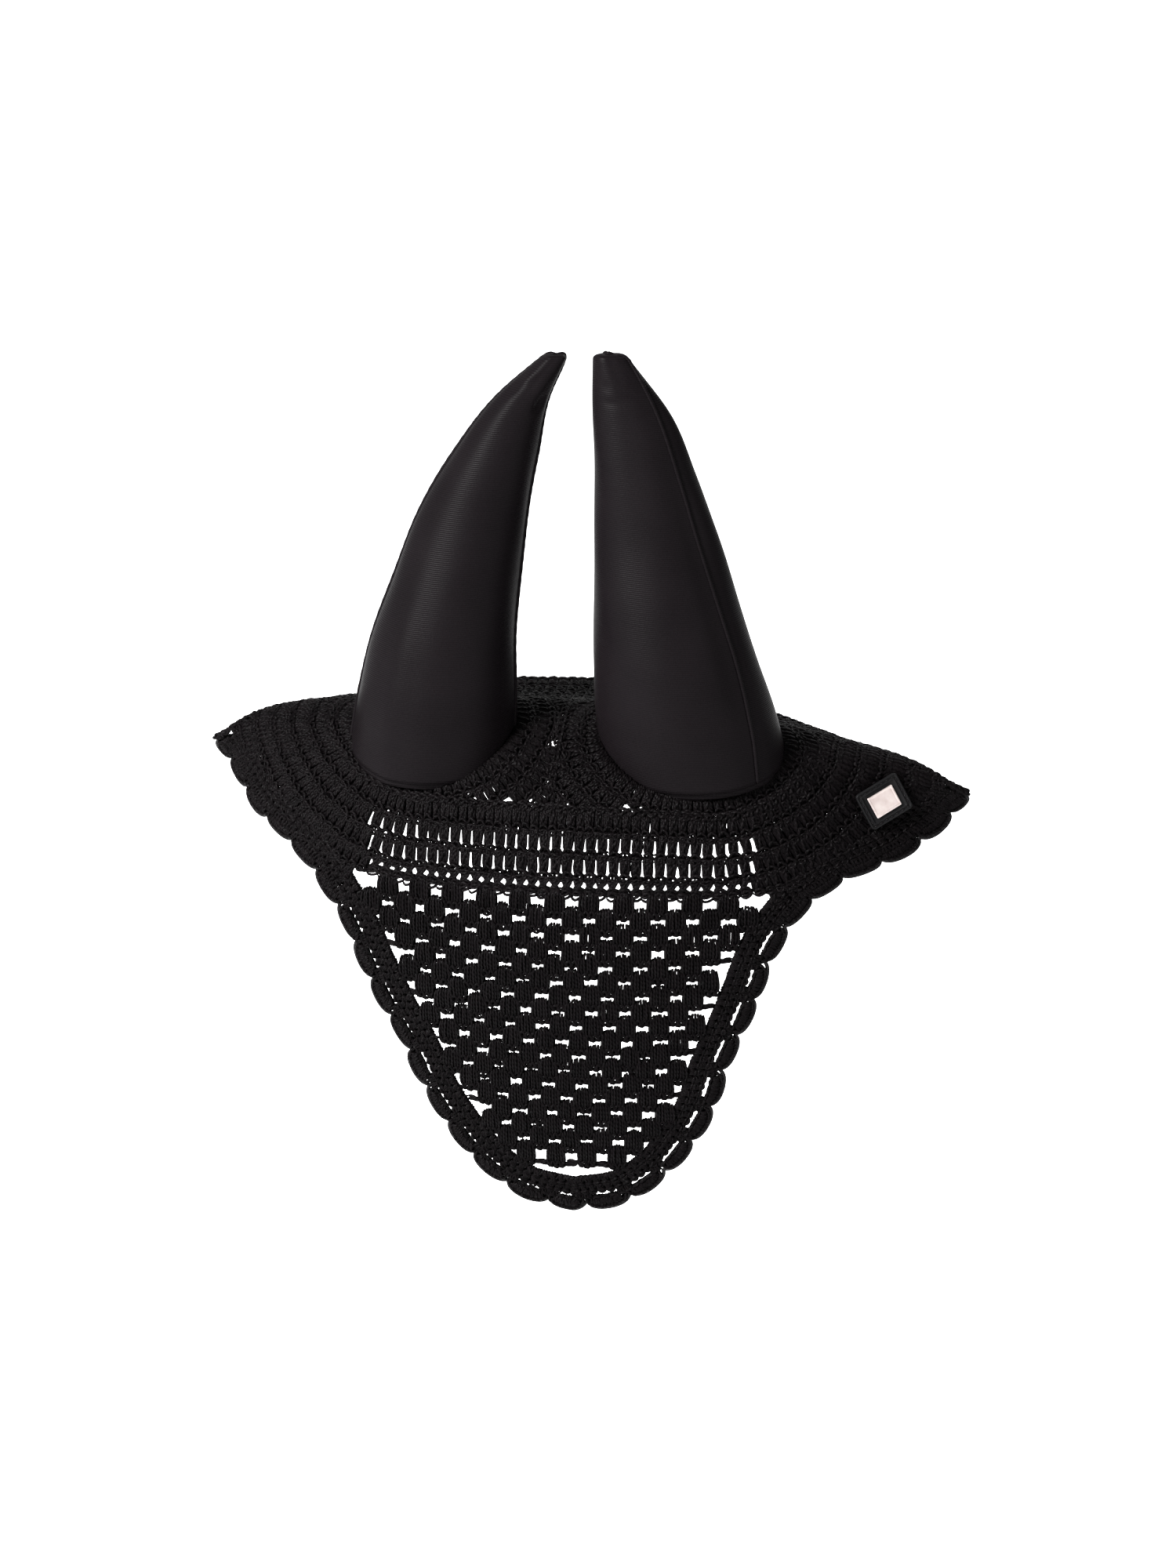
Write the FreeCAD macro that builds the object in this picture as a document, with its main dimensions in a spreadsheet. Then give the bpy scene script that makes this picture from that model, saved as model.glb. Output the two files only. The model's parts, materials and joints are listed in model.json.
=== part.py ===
import FreeCAD, Part
import math
import os
import Sketcher
from FreeCAD import Matrix, Placement, Rotation, Vector

# Crochet fly veil for a horse, in millimetres. +Z is up, -Y is the way the horse looks, and the origin
# is on the underside of the crown at the poll, midway across the head.
doc = FreeCAD.newDocument("fly_veil")
sheet = doc.addObject("Spreadsheet::Sheet", "dimensions")
next_row = 1


def cell(alias, value):
    """Adds one driving dimension to the sheet."""
    global next_row
    sheet.set(f"A{next_row}", alias)
    sheet.set(f"B{next_row}", str(value))
    sheet.setAlias(f"B{next_row}", alias)
    next_row += 1


def cells(prefix, columns, rows):
    """Adds a table of stations: one cell for each column of each row."""
    for index, row in enumerate(rows):
        for column, value in zip(columns, row):
            cell(f"{prefix}{index}_{column}", value)
    cell(f"{prefix}count", len(rows))


def size(alias):
    return float(sheet.get(alias))


def table(prefix, columns):
    """Reads a table of stations back from the sheet."""
    rows = range(int(size(f"{prefix}count")))
    return [[size(f"{prefix}{index}_{column}") for column in columns] for index in rows]


# The head form under the cloth: its profile on the middle plane, from the nape to the fringe's end
cells("profile", ("back", "height"), [
    (85, -12), (55, -11), (25, -5), (0, 2), (-30, -3), (-60, -27), (-74, -60), (-79, -84),
    (-76, -156), (-61, -264), (-57, -289)])
cell("crest_station", 3)
cell("wrap_rate", 0.0016)          # how fast the cloth bends back round the forehead
cell("wrap_start", -5)
cell("wrap_full", 75)
cell("left_droop", 21)             # how far each wing hangs at its tip
cell("right_droop", 32)
cell("droop_span", 200)
cell("left_droop_power", 3.5)
cell("right_droop_power", 2.1)
cell("droop_fade", 70)
cell("droop_end", 150)
cell("tip_shift", 7)               # both wing tips lie this far to the right
cell("tip_shift_from", 140)
cell("tip_shift_to", 203)

# Cloth outline, as distance across the head and distance along it from the poll
cells("rim", ("across", "along"), [(0, -84), (50, -78), (100, -58), (140, -24), (172, 0), (198, 30)])
cells("edge", ("across", "along"), [
    (203, 38), (190, 68), (170, 93), (150, 108), (135, 122), (124, 137), (114, 154), (107, 172),
    (97, 196), (86, 220), (79, 240), (68, 261), (51, 284), (30, 300), (0, 307)])
cell("fringe_swing", 8)            # the fringe's tip hangs this far to the right
cell("fringe_swing_from", 126)
cell("fringe_swing_to", 307)

# Crochet
cell("cloth_thickness", 4)
cell("border_width", 10.5)
cell("edging_width", 10.5)
cell("cord_diameter", 2.4)
cell("seam_gap", 0.3)
cell("nape_along", -34)
cell("nape_gap", 1.6)
cell("nape_least", 8)              # the nape panel is never narrower than this
cell("rim_width", 4)
cell("tip_start", 4)               # how far along the front edge each wing's border starts
cell("tip_margin", 8)
cell("mesh_margin", 3)
cell("brow_along", 85.5)
cell("crown_half_width", 137)
cell("hinge_along", 126)
cell("hinge_relief", 1.9)
cell("corner_relief", 2.5)

# Ear openings: the cover's base turns inside a ball, and the collar stands just outside that ball
cell("ear_ball", 60.6)
cell("ear_pivot_height", 33)
cell("ear_lean", 16)
cell("collar_thickness", 4)
cell("collar_low", -47)
cell("collar_high", -27)
cell("left_ear_across", -72)
cell("right_ear_across", 64)
cell("ear_back", -20)
cell("ear_height", -13)
cell("ear_cloth", 2)
cell("hem_height", 12)
cell("hem_gap", 0.6)
cell("parting_back", -7)           # the seams lie in a plane this far behind the base's centre
cell("left_parting_turn", 0)       # and turned by this angle, which brings the outer seam forward
cell("right_parting_turn", 26)
cell("seam_width", 4)
cell("seam_proud", 1.2)
ear_columns = ("height", "inward", "back", "wide", "deep", "lean")
cells("left_ear", ear_columns, [
    (0, 0, 0, 44, 40, 16), (29, 3, -5, 41, 37, 10), (56, 6.5, -7, 37.5, 33, 3), (88, 13.5, -7, 33, 28, 0),
    (127, 23.5, -7, 27.5, 22, 0), (157, 34.5, -8, 21.5, 17, 0), (188, 49, -9, 13.2, 11, 0),
    (208, 64, -10, 7, 5.5, 0)])
cells("right_ear", ear_columns, [
    (0, 0, 0, 48, 38, 16), (23, 3.8, -4, 46.6, 36, 10), (52, 8.3, -7, 42.3, 32, 3),
    (83, 13.3, -7, 37.3, 27, 0), (117, 18.3, -7, 32, 21, 0), (151, 24.5, -8, 25.7, 16, 0),
    (183, 31.8, -9, 19.5, 11, 0), (209, 41.5, -10, 9.5, 6, 0)])

# Badge on the right wing
cell("badge_across", 160)
cell("badge_along", 55)
cell("badge_length", 25)
cell("badge_width", 21)
cell("badge_corner", 2)
cell("badge_thickness", 1.6)
cell("badge_lift", 5)
cell("badge_turn", 38)
cell("plate_length", 15)
cell("plate_width", 12)
cell("plate_thickness", 0.8)
cell("thread_diameter", 0.8)
cell("stitch_inset", 1.6)
cell("stitch_length", 2.2)
cell("stitch_pitch", 3.3)
cell("stitch_lift", 0.02)
doc.recompute()


def smooth_step(value, low, high):
    ramp = min(max((value - low) / (high - low), 0), 1)
    return ramp * ramp * (3 - 2 * ramp)


def smooth_path(points, knots, where):
    """A smooth curve through the points, one knot each, straight past its ends."""
    last = len(points) - 1

    def slope(index):
        low, high = max(index - 1, 0), min(index + 1, last)
        if low == index or high == index:
            return [(b - a) / (knots[high] - knots[low]) for a, b in zip(points[low], points[high])]
        before, after = knots[index] - knots[low], knots[high] - knots[index]
        return [((c - b) / after * before + (b - a) / before * after) / (before + after)
                for a, b, c in zip(points[low], points[index], points[high])]

    span = 0
    while span < last - 1 and where > knots[span + 1]:
        span += 1
    step = knots[span + 1] - knots[span]
    part = (where - knots[span]) / step
    ratio = min(max(part, 0), 1)
    square, cube = ratio ** 2, ratio ** 3
    start_slope, end_slope = slope(span), slope(span + 1)
    beyond = (part - ratio) * step
    beyond_slope = end_slope if beyond > 0 else start_slope
    return [
        (2 * cube - 3 * square + 1) * a + (cube - 2 * square + ratio) * step * sa
        + (3 * square - 2 * cube) * b + (cube - square) * step * sb + beyond * sx
        for a, b, sa, sb, sx in zip(points[span], points[span + 1], start_slope, end_slope, beyond_slope)]


def chord_knots(points):
    knots = [0.0]
    for a, b in zip(points, points[1:]):
        knots.append(knots[-1] + math.dist(a, b))
    return knots


profile = table("profile", ("back", "height"))
profile_knots = chord_knots(profile)
crest_knot = profile_knots[int(size("crest_station"))]
profile_knots = [knot - crest_knot for knot in profile_knots]


def form(across, along):
    """The cloth's middle surface: a point for a distance across the head and one along it."""
    back, height = smooth_path(profile, profile_knots, along)
    wrap = size("wrap_rate") * across ** 2 * smooth_step(along, size("wrap_start"), size("wrap_full"))
    wing = "left" if across < 0 else "right"
    hang = size(f"{wing}_droop") * (abs(across) / size("droop_span")) ** size(f"{wing}_droop_power")
    hang *= 1 - smooth_step(along, size("droop_fade"), size("droop_end"))
    shift = size("tip_shift") * smooth_step(abs(across), size("tip_shift_from"), size("tip_shift_to"))
    return Vector(across + shift, back + wrap, height - hang)


difference_step = 0.5


def form_normal(across, along):
    """The cloth's outward direction."""
    step = difference_step
    width = form(across + step, along) - form(across - step, along)
    length = form(across, along + step) - form(across, along - step)
    return length.cross(width).normalize()


edge = table("edge", ("across", "along"))
edge_knots = chord_knots(edge)
edge_end = edge_knots[-1]
halvings = 40


def first_where(reached, low, high):
    """The place between two where a condition starts to hold."""
    for _ in range(halvings):
        middle = (low + high) / 2
        if reached(middle):
            high = middle
        else:
            low = middle
    return low


corner_knot = first_where(
    lambda where: smooth_path(edge, edge_knots, where)[1] > size("hinge_along"), 0, edge_end)


def swing(along):
    return size("fringe_swing") * smooth_step(along, size("fringe_swing_from"), size("fringe_swing_to"))


def edge_point(side, where, inset):
    """A point of the cloth's front edge on one side, or inset from it: across and along."""
    low, high = max(where - difference_step, 0), min(where + difference_step, edge_end)
    before, after = smooth_path(edge, edge_knots, low), smooth_path(edge, edge_knots, high)
    run = math.dist(before, after)
    inward = ((before[1] - after[1]) / run, (after[0] - before[0]) / run)
    point = smooth_path(edge, edge_knots, where)
    across, along = point[0] + inward[0] * inset, point[1] + inward[1] * inset
    return side * across + swing(along), along


def rim_along(across):
    stations = table("rim", ("across", "along"))
    return smooth_path([[row[1]] for row in stations], [row[0] for row in stations], abs(across))[0]


def cloth(low_edge, high_edge, columns, rows, low_rise=None, high_rise=None):
    """A closed solid of cloth between two edges, each a function of 0 to 1 that gives across and along."""
    half = size("cloth_thickness") / 2
    low_rise = -half if low_rise is None else low_rise
    high_rise = half if high_rise is None else high_rise
    faces = []
    for rise in (low_rise, high_rise):
        grid = []
        for row in range(rows + 1):
            line = []
            for column in range(columns + 1):
                start, end = low_edge(column / columns), high_edge(column / columns)
                across = start[0] + (end[0] - start[0]) * row / rows
                along = start[1] + (end[1] - start[1]) * row / rows
                line.append(form(across, along) + form_normal(across, along) * rise)
            grid.append(line)
        surface = Part.BSplineSurface()
        surface.interpolate(grid)
        faces.append(surface.toShape())
    lower, upper = faces
    sides = [Part.makeRuledSurface(a, b) for a, b in zip(lower.Edges, upper.Edges)]
    shell = Part.Shell([lower, upper] + sides)
    shell.sewShape()
    solid = Part.Solid(shell)
    if solid.Volume < 0:
        solid.reverse()
    return solid


nodes = {}


def feature(label, shape):
    """Adds a sub-part whose shape no primitive or sketch fits."""
    part = doc.addObject("Part::Feature", label)
    part.Label = label
    part.Shape = shape
    part.Placement = Placement()
    nodes[label] = part
    return part


# Headpiece cloth
gap = size("seam_gap")
half_crown = size("crown_half_width")
brow_start, brow_end = size("brow_along"), size("hinge_along") - size("hinge_relief")
fringe_start = size("hinge_along") + size("hinge_relief")
strip = size("border_width") + size("edging_width")
pivots = {}
for side_name in ("left", "right"):
    lean = math.radians(size("ear_lean"))
    base = Vector(size(f"{side_name}_ear_across"), size("ear_back"), size("ear_height"))
    pivots[side_name] = base + Vector(0, -math.sin(lean), math.cos(lean)) * size("ear_pivot_height")


def clear_of_ears(shape):
    """Cuts both ear openings out of a piece of cloth."""
    for pivot in pivots.values():
        shape = shape.cut(Part.makeSphere(size("ear_ball") + size("collar_thickness") + gap / 2, pivot))
    return shape


def inner_width(side, along, inset):
    """How far across the cloth's front edge is, less an inset, at a distance along the head."""
    where = first_where(lambda place: edge_point(side, place, inset)[1] >= along, 0, edge_end)
    return edge_point(side, where, inset)[0]


def crown_edge(along_at):
    """An edge of the crown or the nape, whose distance along depends on the distance across."""
    return lambda part: (half_crown * (2 * part - 1), along_at(half_crown * (2 * part - 1)))


def nape_front(across):
    return max(size("nape_along"), rim_along(across) + size("nape_least"))


feature("crown", clear_of_ears(cloth(
    crown_edge(lambda across: nape_front(across) + size("nape_gap")),
    crown_edge(lambda across: brow_start - gap),
    columns=28, rows=16)))
feature("nape_panel", clear_of_ears(cloth(
    crown_edge(lambda across: rim_along(across) + size("rim_width") + gap), crown_edge(nape_front),
    columns=28, rows=6)))
feature("nape_edging", cloth(
    crown_edge(rim_along), crown_edge(lambda across: rim_along(across) + size("rim_width")),
    columns=28, rows=2))


def brow_side(side):
    def ends(part):
        along = brow_start + (brow_end - brow_start) * part
        return inner_width(side, along, strip + gap), along
    return ends


feature("brow_band", clear_of_ears(cloth(brow_side(-1), brow_side(1), columns=8, rows=28)))
tip_knot = size("tip_start")
for side_name, side in (("left", -1), ("right", 1)):
    wing_end = abs(edge_point(side, tip_knot + size("tip_margin"), strip + gap)[0])

    def wing_back(part):
        across = half_crown + gap + (wing_end - half_crown - gap) * part
        return side * across, rim_along(across)

    def wing_front(part):
        across = half_crown + gap + (wing_end - half_crown - gap) * part
        where = first_where(
            lambda place: abs(edge_point(side, place, strip + gap)[0]) <= across, 0, corner_knot)
        return side * across, min(edge_point(side, where, strip + gap)[1], brow_start - gap)

    feature(f"{side_name}_wing", clear_of_ears(cloth(wing_back, wing_front, columns=10, rows=10)))


def strip_edge(side, start, end, inset):
    return lambda part: edge_point(side, start + (end - start) * part, inset)


cord = size("cord_diameter")
wing_stop = corner_knot - size("corner_relief")
fringe_stop = corner_knot + size("corner_relief")
for side_name, side in (("left", -1), ("right", 1)):
    feature(f"{side_name}_wing_border", cloth(
        strip_edge(side, tip_knot, wing_stop, cord + gap), strip_edge(side, tip_knot, wing_stop, strip),
        columns=14, rows=3))
    feature(f"{side_name}_wing_cord", cloth(
        strip_edge(side, tip_knot, wing_stop, 0), strip_edge(side, tip_knot, wing_stop, cord),
        columns=14, rows=1, low_rise=-cord / 2, high_rise=cord / 2))


# Fringe
def fringe_side(side):
    def ends(part):
        along = fringe_start + (size("edge14_along") - strip - size("mesh_margin") - fringe_start) * part
        return inner_width(side, along, strip + gap), along
    return ends


def round_the_fringe(inset):
    """Runs down the left edge, round the tip and up the right edge."""
    def place(part):
        length = edge_end - fringe_stop
        if part < 0.5:
            return edge_point(-1, fringe_stop + length * 2 * part, inset)
        return edge_point(1, edge_end - length * (2 * part - 1), inset)
    return place


feature("fringe_mesh", cloth(fringe_side(-1), fringe_side(1), columns=14, rows=20))
feature("fringe_edging", cloth(
    round_the_fringe(size("border_width") + gap), round_the_fringe(strip), columns=60, rows=2))
feature("fringe_border", cloth(
    round_the_fringe(cord + gap), round_the_fringe(size("border_width")), columns=60, rows=2))
feature("fringe_cord", cloth(
    round_the_fringe(0), round_the_fringe(cord), columns=60, rows=1, low_rise=-cord / 2, high_rise=cord / 2))


# Ears
def bound(kind, label, place, **sizes):
    """Adds a primitive whose sizes are expressions on the sheet."""
    part = doc.addObject(kind, label)
    for name, expression in sizes.items():
        if isinstance(expression, str):
            part.setExpression(name, expression)
        else:
            setattr(part, name, expression)
    part.Placement = place
    return part


def boolean(kind, label, base, tool):
    part = doc.addObject(kind, label)
    part.Base = base
    part.Tool = tool
    return part


def common(label, base, tool):
    part = doc.addObject("Part::MultiCommon", label)
    part.Shapes = [base, tool]
    return part


def keep(part, label):
    part.Label = label
    nodes[label] = part


def turned_box(label, origin, turn, low, high):
    """A box between two corners, given in a frame that is turned and moved to an origin."""
    part = doc.addObject("Part::Box", label)
    part.Length, part.Width, part.Height = high[0] - low[0], high[1] - low[1], high[2] - low[2]
    part.Placement = Placement(origin, turn).multiply(Placement(Vector(*low), Rotation()))
    return part


def ear_loft(side_name, inward, name, grow, tip_sections=0):
    """A smooth skin through the ear's ellipses, grown or shrunk, that may stop short of the tip."""
    sections = []
    base = Vector(size(f"{side_name}_ear_across"), size("ear_back"), size("ear_height"))
    rows = table(f"{side_name}_ear", ear_columns)
    for index, row in enumerate(rows[:len(rows) - tip_sections]):
        height, shift, back, wide, deep, lean = row
        place = Placement(base + Vector(inward * shift, back, height), Rotation(Vector(1, 0, 0), lean))
        cell_name = f"dimensions.{side_name}_ear{index}"
        sections.append(bound(
            "Part::Ellipse", f"{side_name}_{name}_section{index}", place,
            MajorRadius=f"{cell_name}_wide + {grow}", MinorRadius=f"{cell_name}_deep + {grow}"))
    loft = doc.addObject("Part::Loft", f"{side_name}_{name}")
    loft.Sections = sections
    loft.Solid = True
    loft.Ruled = False
    return loft


reach = 300
core_grow = "0.05"                 # keeps the seam binding just off the panels
for side_name, inward in (("left", 1), ("right", -1)):
    base = Vector(size(f"{side_name}_ear_across"), size("ear_back"), size("ear_height"))
    lean = Rotation(Vector(1, 0, 0), size("ear_lean"))
    hem_top = size("hem_height")
    outer = ear_loft(side_name, inward, "outer", "0")
    inner = ear_loft(side_name, inward, "inner", "0 - dimensions.ear_cloth", tip_sections=1)
    shell = boolean("Part::Cut", f"{side_name}_shell", outer, inner)
    low_slab = turned_box(f"{side_name}_low_slab", base, lean, (-reach, -reach, -1), (reach, reach, hem_top))
    high_slab = turned_box(
        f"{side_name}_high_slab", base, lean,
        (-reach, -reach, hem_top + size("hem_gap")), (reach, reach, reach))
    keep(common(f"{side_name}_hem_common", shell, low_slab), f"{side_name}_ear_hem")
    cover = common(f"{side_name}_cover", shell, high_slab)
    tip = table(f"{side_name}_ear", ear_columns)[-1]
    parting = base + Vector(0, size("parting_back"), 0)
    parting_turn = Rotation(
        Vector(inward * tip[1], 0, tip[0]), inward * size(f"{side_name}_parting_turn"))
    for name, low, high in (("front", -reach, 0), ("back", 0, reach)):
        half = turned_box(
            f"{side_name}_{name}_half", parting, parting_turn, (-reach, low, -reach), (reach, high, reach))
        keep(common(f"{side_name}_{name}_common", cover, half), f"{side_name}_ear_{name}_panel")
    skin = ear_loft(side_name, inward, "skin", "dimensions.seam_proud")
    seam_core = ear_loft(side_name, inward, "seam_core", core_grow)
    ridge = boolean("Part::Cut", f"{side_name}_ridge", skin, seam_core)
    half_seam = size("seam_width") / 2
    seam_slab = turned_box(
        f"{side_name}_seam_slab", parting, parting_turn,
        (-reach, -half_seam, -reach), (reach, half_seam, reach))
    high_ridge = common(f"{side_name}_high_ridge", ridge, high_slab)
    keep(common(f"{side_name}_seam_common", high_ridge, seam_slab), f"{side_name}_ear_seam_binding")

    pivot = pivots[side_name]
    zones = []
    for name, grow in (("inside", ""), ("outside", " + dimensions.collar_thickness")):
        ball = bound(
            "Part::Sphere", f"{side_name}_collar_{name}", Placement(pivot, lean),
            Radius=f"dimensions.ear_ball{grow}")
        zones.append(ball)
    ring = boolean("Part::Cut", f"{side_name}_collar_ring", zones[1], zones[0])
    zone = turned_box(
        f"{side_name}_collar_zone", pivot, lean,
        (-reach, -reach, size("collar_low")), (reach, reach, size("collar_high")))
    keep(common(f"{side_name}_collar_common", ring, zone), f"{side_name}_ear_collar")


# Badge
upright_at_least = 0.99


def rounded_rectangle(body, name, length, width, corner):
    """A rectangle with rounded corners about the origin, its sizes bound to the sheet."""
    sketch = body.newObject("Sketcher::SketchObject", name)
    plane = next(item for item in body.Origin.OriginFeatures if item.Role == "XY_Plane")
    sketch.AttachmentSupport = (plane, "")
    sketch.MapMode = "FlatFace"
    half_length, half_width = size(length) / 2, size(width) / 2
    corners = [(-half_length, -half_width), (half_length, -half_width), (half_length, half_width),
               (-half_length, half_width)]
    for index in range(4):
        start, end = corners[index], corners[(index + 1) % 4]
        sketch.addGeometry(Part.LineSegment(Vector(*start, 0), Vector(*end, 0)))
    for index in range(4):
        sketch.addConstraint(Sketcher.Constraint("Coincident", index, 2, (index + 1) % 4, 1))
    for index in (0, 2):
        sketch.addConstraint(Sketcher.Constraint("Horizontal", index))
    for index in (1, 3):
        sketch.addConstraint(Sketcher.Constraint("Vertical", index))
    sketch.addConstraint(Sketcher.Constraint("Symmetric", 0, 1, 2, 1, -1, 1))
    sketch.addConstraint(Sketcher.Constraint("DistanceX", 0, 1, 0, 2, half_length * 2))
    sketch.addConstraint(Sketcher.Constraint("DistanceY", 1, 1, 1, 2, half_width * 2))
    sketch.setExpression(f"Constraints[{sketch.ConstraintCount - 2}]", f"dimensions.{length}")
    sketch.setExpression(f"Constraints[{sketch.ConstraintCount - 1}]", f"dimensions.{width}")
    pad = body.newObject("PartDesign::Pad", f"{name}_pad")
    pad.Profile = sketch
    pad.setExpression("Length", f"dimensions.{corner[0]}")
    doc.recompute()
    if corner[1]:
        upright = [f"Edge{number}" for number, line in enumerate(pad.Shape.Edges, 1)
                   if abs(line.tangentAt(line.FirstParameter).z) > upright_at_least]
        fillet = body.newObject("PartDesign::Fillet", f"{name}_corners")
        fillet.Base = (pad, upright)
        fillet.setExpression("Radius", f"dimensions.{corner[1]}")
    return body


def badge_place(lift):
    """The badge's frame on the right wing, lifted off the cloth's middle surface."""
    across, along = size("badge_across"), size("badge_along")
    normal = form_normal(across, along)
    side = form(across + 1, along) - form(across - 1, along)
    side = (side - normal * side.dot(normal)).normalize()
    up = normal.cross(side)
    turn = math.radians(size("badge_turn"))
    axis_x = side * math.cos(turn) + up * math.sin(turn)
    axis_y = normal.cross(axis_x)
    point = form(across, along) + normal * lift
    return Placement(Matrix(
        axis_x.x, axis_y.x, normal.x, point.x,
        axis_x.y, axis_y.y, normal.y, point.y,
        axis_x.z, axis_y.z, normal.z, point.z,
        0, 0, 0, 1))


patch = doc.addObject("PartDesign::Body", "badge_patch")
rounded_rectangle(patch, "patch_outline", "badge_length", "badge_width", ("badge_thickness", "badge_corner"))
patch.Placement = badge_place(size("badge_lift"))
keep(patch, "badge_patch")
plate = doc.addObject("PartDesign::Body", "badge_plate")
rounded_rectangle(plate, "plate_outline", "plate_length", "plate_width", ("plate_thickness", None))
plate.Placement = badge_place(size("badge_lift") + size("badge_thickness"))
keep(plate, "badge_plate")


def stitch_row():
    """Short thread stitches round the badge, as a group of separate solids on its face."""
    stitches = []
    inset = size("stitch_inset")
    radius = size("thread_diameter") / 2
    pitch = size("stitch_pitch")
    for length, width, turn in (("badge_length", "badge_width", 0), ("badge_width", "badge_length", 90)):
        run = size(length) - 2 * inset - size("stitch_length")
        count = int(run / pitch)
        for step in range(count):
            for side in (-1, 1):
                along = (step - (count - 1) / 2) * pitch
                start = Vector(along - size("stitch_length") / 2, side * (size(width) / 2 - inset), radius)
                stitch = Part.makeCylinder(radius, size("stitch_length"), start, Vector(1, 0, 0))
                stitch.rotate(Vector(0, 0, 0), Vector(0, 0, 1), turn)
                stitches.append(stitch)
    return Part.makeCompound(stitches)


stitching = feature("badge_stitching", stitch_row())
stitching.Placement = badge_place(size("badge_lift") + size("badge_thickness") + size("stitch_lift"))

doc.recompute()
failed = [item.Label for item in doc.Objects if "Invalid" in item.State or "Error" in item.State]
for label, part in nodes.items():
    if part.Shape.isNull() or not part.Shape.isValid() or part.Shape.Volume <= 0:
        failed.append(label)
if failed:
    raise SystemExit("not built: " + ", ".join(failed))

os.makedirs("parts", exist_ok=True)
for label, part in nodes.items():
    part.Shape.exportStep(f"parts/{label}.step")
    box = part.Shape.BoundBox
    print(f"{label}: {part.Shape.Volume / 1000:.1f} cm3, solids {len(part.Shape.Solids)},"
          f" X {box.XMin:.0f}..{box.XMax:.0f} Y {box.YMin:.0f}..{box.YMax:.0f}"
          f" Z {box.ZMin:.0f}..{box.ZMax:.0f}")
for side_name, pivot in pivots.items():
    print(side_name, "ear pivot", [round(value, 2) for value in pivot])
print("fringe hinge", [round(value, 2) for value in form(0, size("hinge_along"))])
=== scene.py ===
import json
import math

import bpy
import numpy as np
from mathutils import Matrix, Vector


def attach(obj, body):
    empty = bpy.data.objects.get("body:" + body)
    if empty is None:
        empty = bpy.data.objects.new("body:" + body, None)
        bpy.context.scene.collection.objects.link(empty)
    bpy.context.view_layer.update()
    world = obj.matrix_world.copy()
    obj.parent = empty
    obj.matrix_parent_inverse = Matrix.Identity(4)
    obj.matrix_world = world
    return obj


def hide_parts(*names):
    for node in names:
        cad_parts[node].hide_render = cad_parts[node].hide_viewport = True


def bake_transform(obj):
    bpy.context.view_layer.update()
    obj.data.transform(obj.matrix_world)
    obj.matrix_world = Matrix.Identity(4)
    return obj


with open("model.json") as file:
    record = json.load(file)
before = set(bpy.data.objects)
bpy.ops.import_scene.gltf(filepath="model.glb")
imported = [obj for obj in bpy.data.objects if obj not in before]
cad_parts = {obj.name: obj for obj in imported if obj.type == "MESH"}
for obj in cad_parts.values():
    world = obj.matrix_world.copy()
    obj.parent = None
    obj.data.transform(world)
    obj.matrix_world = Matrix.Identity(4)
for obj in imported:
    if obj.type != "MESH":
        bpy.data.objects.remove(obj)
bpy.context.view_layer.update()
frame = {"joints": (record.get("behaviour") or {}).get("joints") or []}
mm = 0.001
joints = {joint["name"]: joint for joint in frame["joints"]}
print("frame loaded")


# A shader socket that can be used in plain expressions
class Wire:
    def __init__(self, graph, socket):
        self.graph, self.socket = graph, socket

    def combine(self, operation, other, swapped=False):
        pair = (other, self) if swapped else (self, other)
        return self.graph.node("ShaderNodeMath", {"operation": operation}, {0: pair[0], 1: pair[1]})

    def __add__(self, other):
        return self.combine("ADD", other)

    def __radd__(self, other):
        return self.combine("ADD", other, True)

    def __sub__(self, other):
        return self.combine("SUBTRACT", other)

    def __rsub__(self, other):
        return self.combine("SUBTRACT", other, True)

    def __mul__(self, other):
        return self.combine("MULTIPLY", other)

    def __rmul__(self, other):
        return self.combine("MULTIPLY", other, True)

    def sine(self):
        return self.graph.node("ShaderNodeMath", {"operation": "SINE"}, {0: self})


class Graph:
    def __init__(self, name):
        self.material = bpy.data.materials.new(name)
        self.material.use_nodes = True
        self.tree = self.material.node_tree
        self.shader = self.tree.nodes["Principled BSDF"]

    def feed(self, socket, value):
        if isinstance(value, Wire):
            self.tree.links.new(value.socket, socket)
        else:
            socket.default_value = value

    def node(self, kind, settings, inputs, output=0):
        item = self.tree.nodes.new(kind)
        for key, value in settings.items():
            setattr(item, key, value)
        for key, value in inputs.items():
            self.feed(item.inputs[key], value)
        return Wire(self, item.outputs[output])

    def finish(self, **sockets):
        for key, value in sockets.items():
            self.feed(self.shader.inputs[key.replace("_", " ")], value)
        return self.material

    def place(self):
        return self.node("ShaderNodeTexCoord", {}, {}, "Object")

    def noise(self, scale, detail=2.0, rough=0.5, vector=None):
        return self.node("ShaderNodeTexNoise", {}, {
            "Vector": vector or self.place(), "Scale": scale, "Detail": detail, "Roughness": rough})

    def attribute(self, name):
        return self.node("ShaderNodeAttribute", {"attribute_name": name}, {}, "Fac")

    def bump(self, height, distance, normal=None):
        inputs = {"Height": height, "Distance": distance, "Strength": 1.0}
        if normal:
            inputs["Normal"] = normal
        return self.node("ShaderNodeBump", {}, inputs)

    def mixColour(self, factor, first, second):
        return self.node("ShaderNodeMix", {"data_type": "RGBA"}, {0: factor, 6: first, 7: second}, 2)


yarnLook = {
    "dark": (0.0002, 0.00015, 0.00018, 1), "light": (0.0022, 0.0017, 0.0019, 1), "roughness": 0.42,
    "plyTurn": 2.4, "plyDepth": 0.00026, "fibreScale": 2600, "fibreDepth": 0.00009, "specular": 0.017}


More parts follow.
